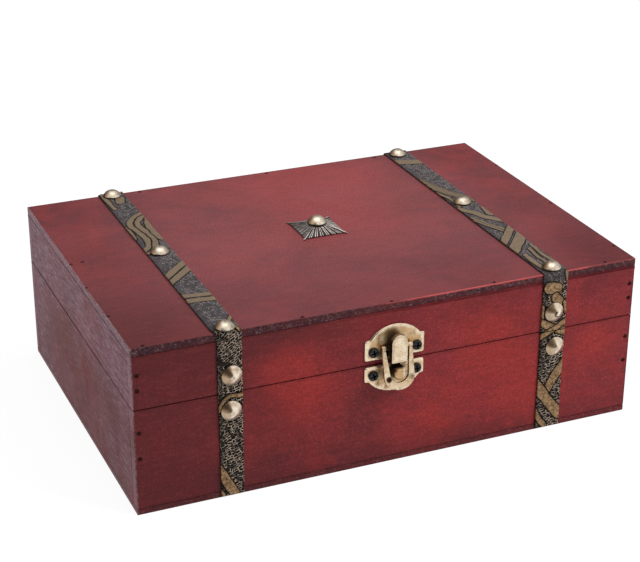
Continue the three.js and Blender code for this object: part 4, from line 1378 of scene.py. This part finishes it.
haspShape = {
    "pivot": (-79.2, 53.4), "lean": 14.0, "bar": 0.95, "eye": 1.15, "thick": 1.3, "half": 6.7,
    "topInner": 5.1, "bottomInner": 4.0, "window": 14.63, "length": 17.83, "ellipse": 5.6,
    "arcSteps": 40, "legSteps": 11, "easing": 0.45,
    "dimple": (4.75, -12.7), "dimpleDepth": 0.45, "dimpleHeight": 41.1,
}
haspSection = [  # share of the way from the window's edge outwards, share of the half thickness
    (0, 0.45), (0.04, 0.8), (0.14, 1), (0.3, 1), (0.5, 1), (0.7, 1), (0.86, 1), (0.96, 0.8), (1, 0.45),
]


def haspSide(top, bottom, foot, drop):  # down one leg, round the end, and up the other leg
    legs = haspShape["legSteps"]
    turn = np.radians(np.linspace(0, -180, haspShape["arcSteps"]))
    leg = [(top + (bottom - top) * step / legs, foot * step / legs) for step in range(legs)]
    end = [(bottom * math.cos(a), foot + drop * math.sin(a)) for a in turn]
    return np.array(leg + end + [(-a, b) for a, b in leg[::-1]])


def haspPiece():
    shape = haspShape
    bottomInner, reach = shape["bottomInner"], shape["half"]
    inner = haspSide(shape["topInner"], bottomInner, -shape["window"] + bottomInner, bottomInner)
    outer = haspSide(reach, reach, -shape["length"] + shape["ellipse"], shape["ellipse"])
    half = shape["thick"] / 2
    section = [(share, part * half) for share, part in haspSection]
    section += [(share, -height) for share, height in section[::-1]]
    rings = []
    for a, b in zip(inner, outer):
        easing = shape["easing"] / 0.3 / np.linalg.norm(b - a)  # the edges keep one roundness at any width
        ring = []
        for share, height in section:
            if 0 < share < 0.3:
                share = share * easing
            if 0.7 < share < 1:
                share = 1 - (1 - share) * easing
            ring.append((*(a + (b - a) * share), height))
        rings.append(ring)
    rings = np.array(rings)
    front = rings[..., 2] > half * 0.9
    for sign in (-1, 1):
        dimple = np.array([sign * shape["dimple"][0], shape["dimple"][1]])
        gap = np.linalg.norm(rings[..., :2] - dimple, axis=-1)
        rings[..., 2] -= np.where(front, shape["dimpleDepth"] * (1 - smooth(gap, 0.3, 1.0)), 0)
    place = Vector((latchShape["x"], *shape["pivot"])) * mm
    lean = Matrix.Translation(place) @ Matrix.Rotation(-math.radians(shape["lean"]), 4, "X")

    def leaned(name, rings, side):
        piece = latchPart(name, turnTo(rings, side, (0, 0, 0)))
        piece.data.transform(lean)
        return piece

    loop = leaned("haspLoop", rings, "front")
    profile = [(0.01, -reach + 0.1), (0.8, -reach + 0.1), (shape["bar"], -reach + 0.25)]
    profile += [(r, -z) for r, z in profile[::-1]]
    joins = [leaned("bar", turnedRings(profile, 32), "side")]
    radius = shape["eye"]
    for low, high in ((-reach, -shape["topInner"]), (shape["topInner"], reach)):
        profile = [(0.01, low), (radius - 0.2, low), (radius - 0.05, low + 0.06), (radius, low + 0.22)]
        profile += [(radius, high - 0.22), (radius - 0.05, high - 0.06), (radius - 0.2, high), (0.01, high)]
        joins.append(leaned("eye", turnedRings(profile, 32), "side"))
    fuse(loop, joins)
    dress(crease(paint(refine(loop, 0.5), haspStainAndShade), 40), "latch_hasp")


def haspStainAndShade(points):
    blot = smooth(drift(points, 1.6, 13) + 0.6 * drift(points, 0.8, 14), 0.1, 1.0)
    x, z = points[:, 0] - latchShape["x"], points[:, 2]
    # painted shade in the dimples, darker in the left one, and on the cross bar behind the hook
    dimple = np.hypot(np.abs(x) - haspShape["dimple"][0], z - haspShape["dimpleHeight"])
    dimple = (1 - smooth(dimple, 0.9, 1.6)) * np.where(x < 0, 1, 0.3)
    crossBar = smooth(z, 51.6, 52.6) * (1 - smooth(np.abs(x), 4.9, 5.3)) * (1 - 0.7 * smooth(x, 0, 3))
    warm = np.clip(0.3 + 0.5 * drift(points, 1.4, 15), 0, 1)
    return {
        "stainAndShade": np.clip(0.26 * blot + dimple + 0.95 * crossBar, 0, 1),
        "warm": warm * (1 - 0.6 * smooth(-z, -39, -37)),
        "rub": 0.3 * (1 - blot) * (1 - crossBar) * (1 - dimple),
    }


catchPiece()
keeperPiece()
haspPiece()
print("latch: fitted")

# Hinges at the back
hingeShape = {
    "y": 79.0, "z": 46.0, "knuckle": 1.6, "gap": 0.3, "width": 18.0, "height": 13.0,
    "stopReach": 2.4, "stopHalf": 4.5, "stopDrop": 3.19, "stopThick": 0.8, "share": 0.36, "corner": 1.2,
    "bore": 0.8, "knuckleGap": 0.3,
    "levels": ((0.08, 0.02), (0, 0.1), (0, 0.6), (0.06, 0.73), (0.2, 0.79), (0.32, 0.8), (0.5, 0.8)),
}


def hingeLeaf(side, part):  # made for the base, and turned over for the lid
    shape = hingeShape
    node = f"hinge_{part}_leaf_{side}"
    low, high = cornersOf(node)
    half = shape["width"] / 2
    top = shape["knuckle"] + shape["gap"]
    back = shape["y"] - top
    corners = [(-half, -shape["height"]), (half, -shape["height"]), (half, -top), (-half, -top)]
    outline = rounded(corners, shape["corner"])
    plate = latchPart("leaf", pressed(outline, shape["levels"], "back", (0, 0, 0)))
    middle = half * shape["share"]
    apart = middle + shape["knuckleGap"]
    r, bore = shape["knuckle"], shape["bore"]
    joins = []
    for start, end in [(-middle, middle)] if part == "lid" else [(-half, -apart), (apart, half)]:
        profile = [(bore, start + 0.02), (r - 0.18, start), (r - 0.04, start + 0.05), (r, start + 0.18)]
        profile += [(r, end - 0.18), (r - 0.04, end - 0.05), (r - 0.18, end), (bore, end - 0.02)]
        points, faces = skin(turnTo(turnedRings(profile, 36), "side", (0, top, 0)), joined=True)
        joins.append(outward(makePiece("tube", points, faces, metals["hingeBrass"])))
        joins.append(bar("neck", (start + 0.07, 0.05, -top - 0.63), (end - 0.07, 0.77, -0.2), 0.12))
    stopHalf, drop = shape["stopHalf"], shape["stopDrop"]
    joins.append(bar("lip", (-stopHalf, 0.08, -drop - shape["stopThick"]),
                     (stopHalf, top + shape["stopReach"], -drop), 0.15))
    fuse(plate, joins)
    hole = turnedRings([(0.01, -half - 1), (bore, -half - 1), (bore, half + 1), (0.01, half + 1)], 24)
    fuse(plate, [latchPart("bore", turnTo(hole, "side", (0, top, 0)))], "DIFFERENCE")
    flip = Matrix.Rotation(math.pi, 4, "Y") if part == "lid" else Matrix.Identity(4)
    place = Vector(((low[0] + high[0]) / 2, back, shape["z"])) * mm
    plate.data.transform(Matrix.Translation(place) @ flip)
    plate.name = part + "Leaf" + side.title()
    plate.data.materials.clear()
    plate.data.materials.append(metals["hingeBrass"])
    dress(crease(paint(plate, hingeStain), 40), node)


def hingeStain(points):
    blot = smooth(drift(points, 2.2, 23) + 0.6 * drift(points, 1.0, 24), 0.0, 0.9)
    return {"stainAndShade": 0.45 * blot, "rub": 0.4 * smooth(points[:, 1], 79.5, 80.6)}


def hingePin(side):
    node = f"hinge_pin_{side}"
    low, high = cornersOf(node)
    half = (high[0] - low[0]) / 2
    profile = [(0.01, -half), (0.5, -half), (0.66, -half + 0.06), (0.7, -half + 0.2)]
    profile += [(r, -z) for r, z in profile[::-1]]
    points, faces = skin(turnTo(turnedRings(profile, 24), "side", (low + high) / 2))
    piece = outward(makePiece("hingePin" + side.title(), points, faces, metals["hingeBrass"]))
    dress(piece, node)


for side in ("left", "right"):
    for part in ("base", "lid"):
        hingeLeaf(side, part)
    hingePin(side)
print("hinges: hung")

# Nails: small dark heads, sunk below the face of the wood
nailShape = {"radius": 0.62, "sunk": 0.5, "shank": 0.45, "length": 12.0}


def nailPiece(node):
    low, high = cornersOf(node)
    base = (low + high) / 2
    base[1] = low[1]
    r, shank, top = nailShape["radius"], nailShape["shank"], -nailShape["sunk"]
    profile = [(0.01, -nailShape["length"]), (shank, -nailShape["length"] + 0.6), (shank, top - 0.5)]
    profile += [(r, top - 0.4), (r, top - 0.12), (r - 0.12, top - 0.02), (r * 0.5, top), (0.01, top)]
    points, faces = skin(turnTo(turnedRings(profile, 24), "front", base))
    words = node.split("_")
    name = words[0] + "Nail" + words[2].title() + words[3].title()
    dress(outward(makePiece(name, points, faces, metals["nailSteel"])), node)


for node in sorted(frame["nodes"]):
    if "_nail_" in node:
        nailPiece(node)
print("nails: set")

# The studio: a pale floor and soft light
studio = {
    "floorSize": 6.0,
    "floorColour": (0.8, 0.8, 0.8, 1),
    "shadowShare": 0.18,
    "paperGlow": 1.12,
    "white": (1, 1, 1, 1),
    "curtainColour": (0.03, 0.03, 0.03, 1),
    "aim": (0, 0, 0.04),
    "skyStrength": 0.4,
    "lamps": {
        "keySoftbox": {"place": (0.62, -0.6, 0.75), "size": 0.5, "watts": 8, "mirrored": False},
        "topSoftbox": {"place": (0.1, 0.15, 1.25), "size": 1.15, "watts": 4.8, "mirrored": True},
    },
    "curtains": {  # dark cloths that only reflections show
        "frontCurtain": {"place": (-0.95, -0.98, 0.85), "wide": 1.6, "high": 1.6, "glow": 0.02},
        "backCurtain": {"place": (0.3, 1.5, 0.68), "wide": 3.0, "high": 1.36, "glow": 0.42},
    },
}


def flatSheet(name, wide, high, finish):
    a, b = wide / 2, high / 2
    mesh = bpy.data.meshes.new(name)
    mesh.from_pydata([(-a, -b, 0), (a, -b, 0), (a, b, 0), (-a, b, 0)], [], [(0, 1, 2, 3)])
    mesh.materials.append(finish.owner)
    sheet = bpy.data.objects.new(name, mesh)
    bpy.context.scene.collection.objects.link(sheet)
    return sheet


def seenDirectly(finish):  # 1 where the camera, a mirror or a glass looks at it, and 0 for plain light
    rays = [finish.node("LightPath", out=f"Is {kind} Ray") for kind in ("Camera", "Glossy", "Transmission")]
    return rays[0] + rays[1] + rays[2]


def layFloor():
    paper = Finish(bpy.data.materials.new("floorPaper"), {
        "Base Color": studio["floorColour"], "Roughness": 0.9, "Specular IOR Level": 0.1,
    })
    glow = paper.node("Emission", {}, {"Color": studio["white"], "Strength": studio["paperGlow"]})
    share = seenDirectly(paper) * (1 - studio["shadowShare"])
    blend = paper.node("MixShader", {}, {0: share, 1: Wire(paper, paper.shader.outputs[0]), 2: glow})
    paper.feed(paper.tree.nodes["Material Output"].inputs["Surface"], blend)
    flatSheet("floor", studio["floorSize"], studio["floorSize"], paper)


def hangCurtain(name, hang):
    cloth = Finish(bpy.data.materials.new(name), {
        "Base Color": studio["curtainColour"], "Roughness": 1.0,
        "Emission Color": studio["white"], "Emission Strength": hang["glow"],
    })
    curtain = flatSheet(name, hang["wide"], hang["high"], cloth)
    curtain.location = hang["place"]
    towardsBox = -Vector(hang["place"])
    towardsBox.z = 0
    curtain.rotation_euler = towardsBox.to_track_quat("Z", "Y").to_euler()
    curtain.visible_camera = False
    curtain.visible_diffuse = False
    curtain.visible_shadow = False


def placeLamp(name, lamp):
    data = bpy.data.lights.new(name, "AREA")
    data.shape = "SQUARE"
    data.size = lamp["size"]
    data.energy = lamp["watts"]
    light = bpy.data.objects.new(name, data)
    light.visible_glossy = lamp["mirrored"]
    light.location = lamp["place"]
    aim = Vector(studio["aim"]) - Vector(lamp["place"])
    light.rotation_euler = aim.to_track_quat("-Z", "Y").to_euler()
    bpy.context.scene.collection.objects.link(light)


def lightSky():
    world = bpy.data.worlds.new("studioSky")
    sky = Finish(world, {"Color": studio["white"]})
    values = {"Value": seenDirectly(sky), "To Min": studio["skyStrength"]}
    sky.feed(sky.shader.inputs["Strength"], sky.node("MapRange", {}, values))
    bpy.context.scene.world = world


layFloor()
for name, hang in studio["curtains"].items():
    hangCurtain(name, hang)
for name, lamp in studio["lamps"].items():
    placeLamp(name, lamp)
lightSky()
bpy.context.scene.view_settings.view_transform = "Standard"
print("studio: lit")
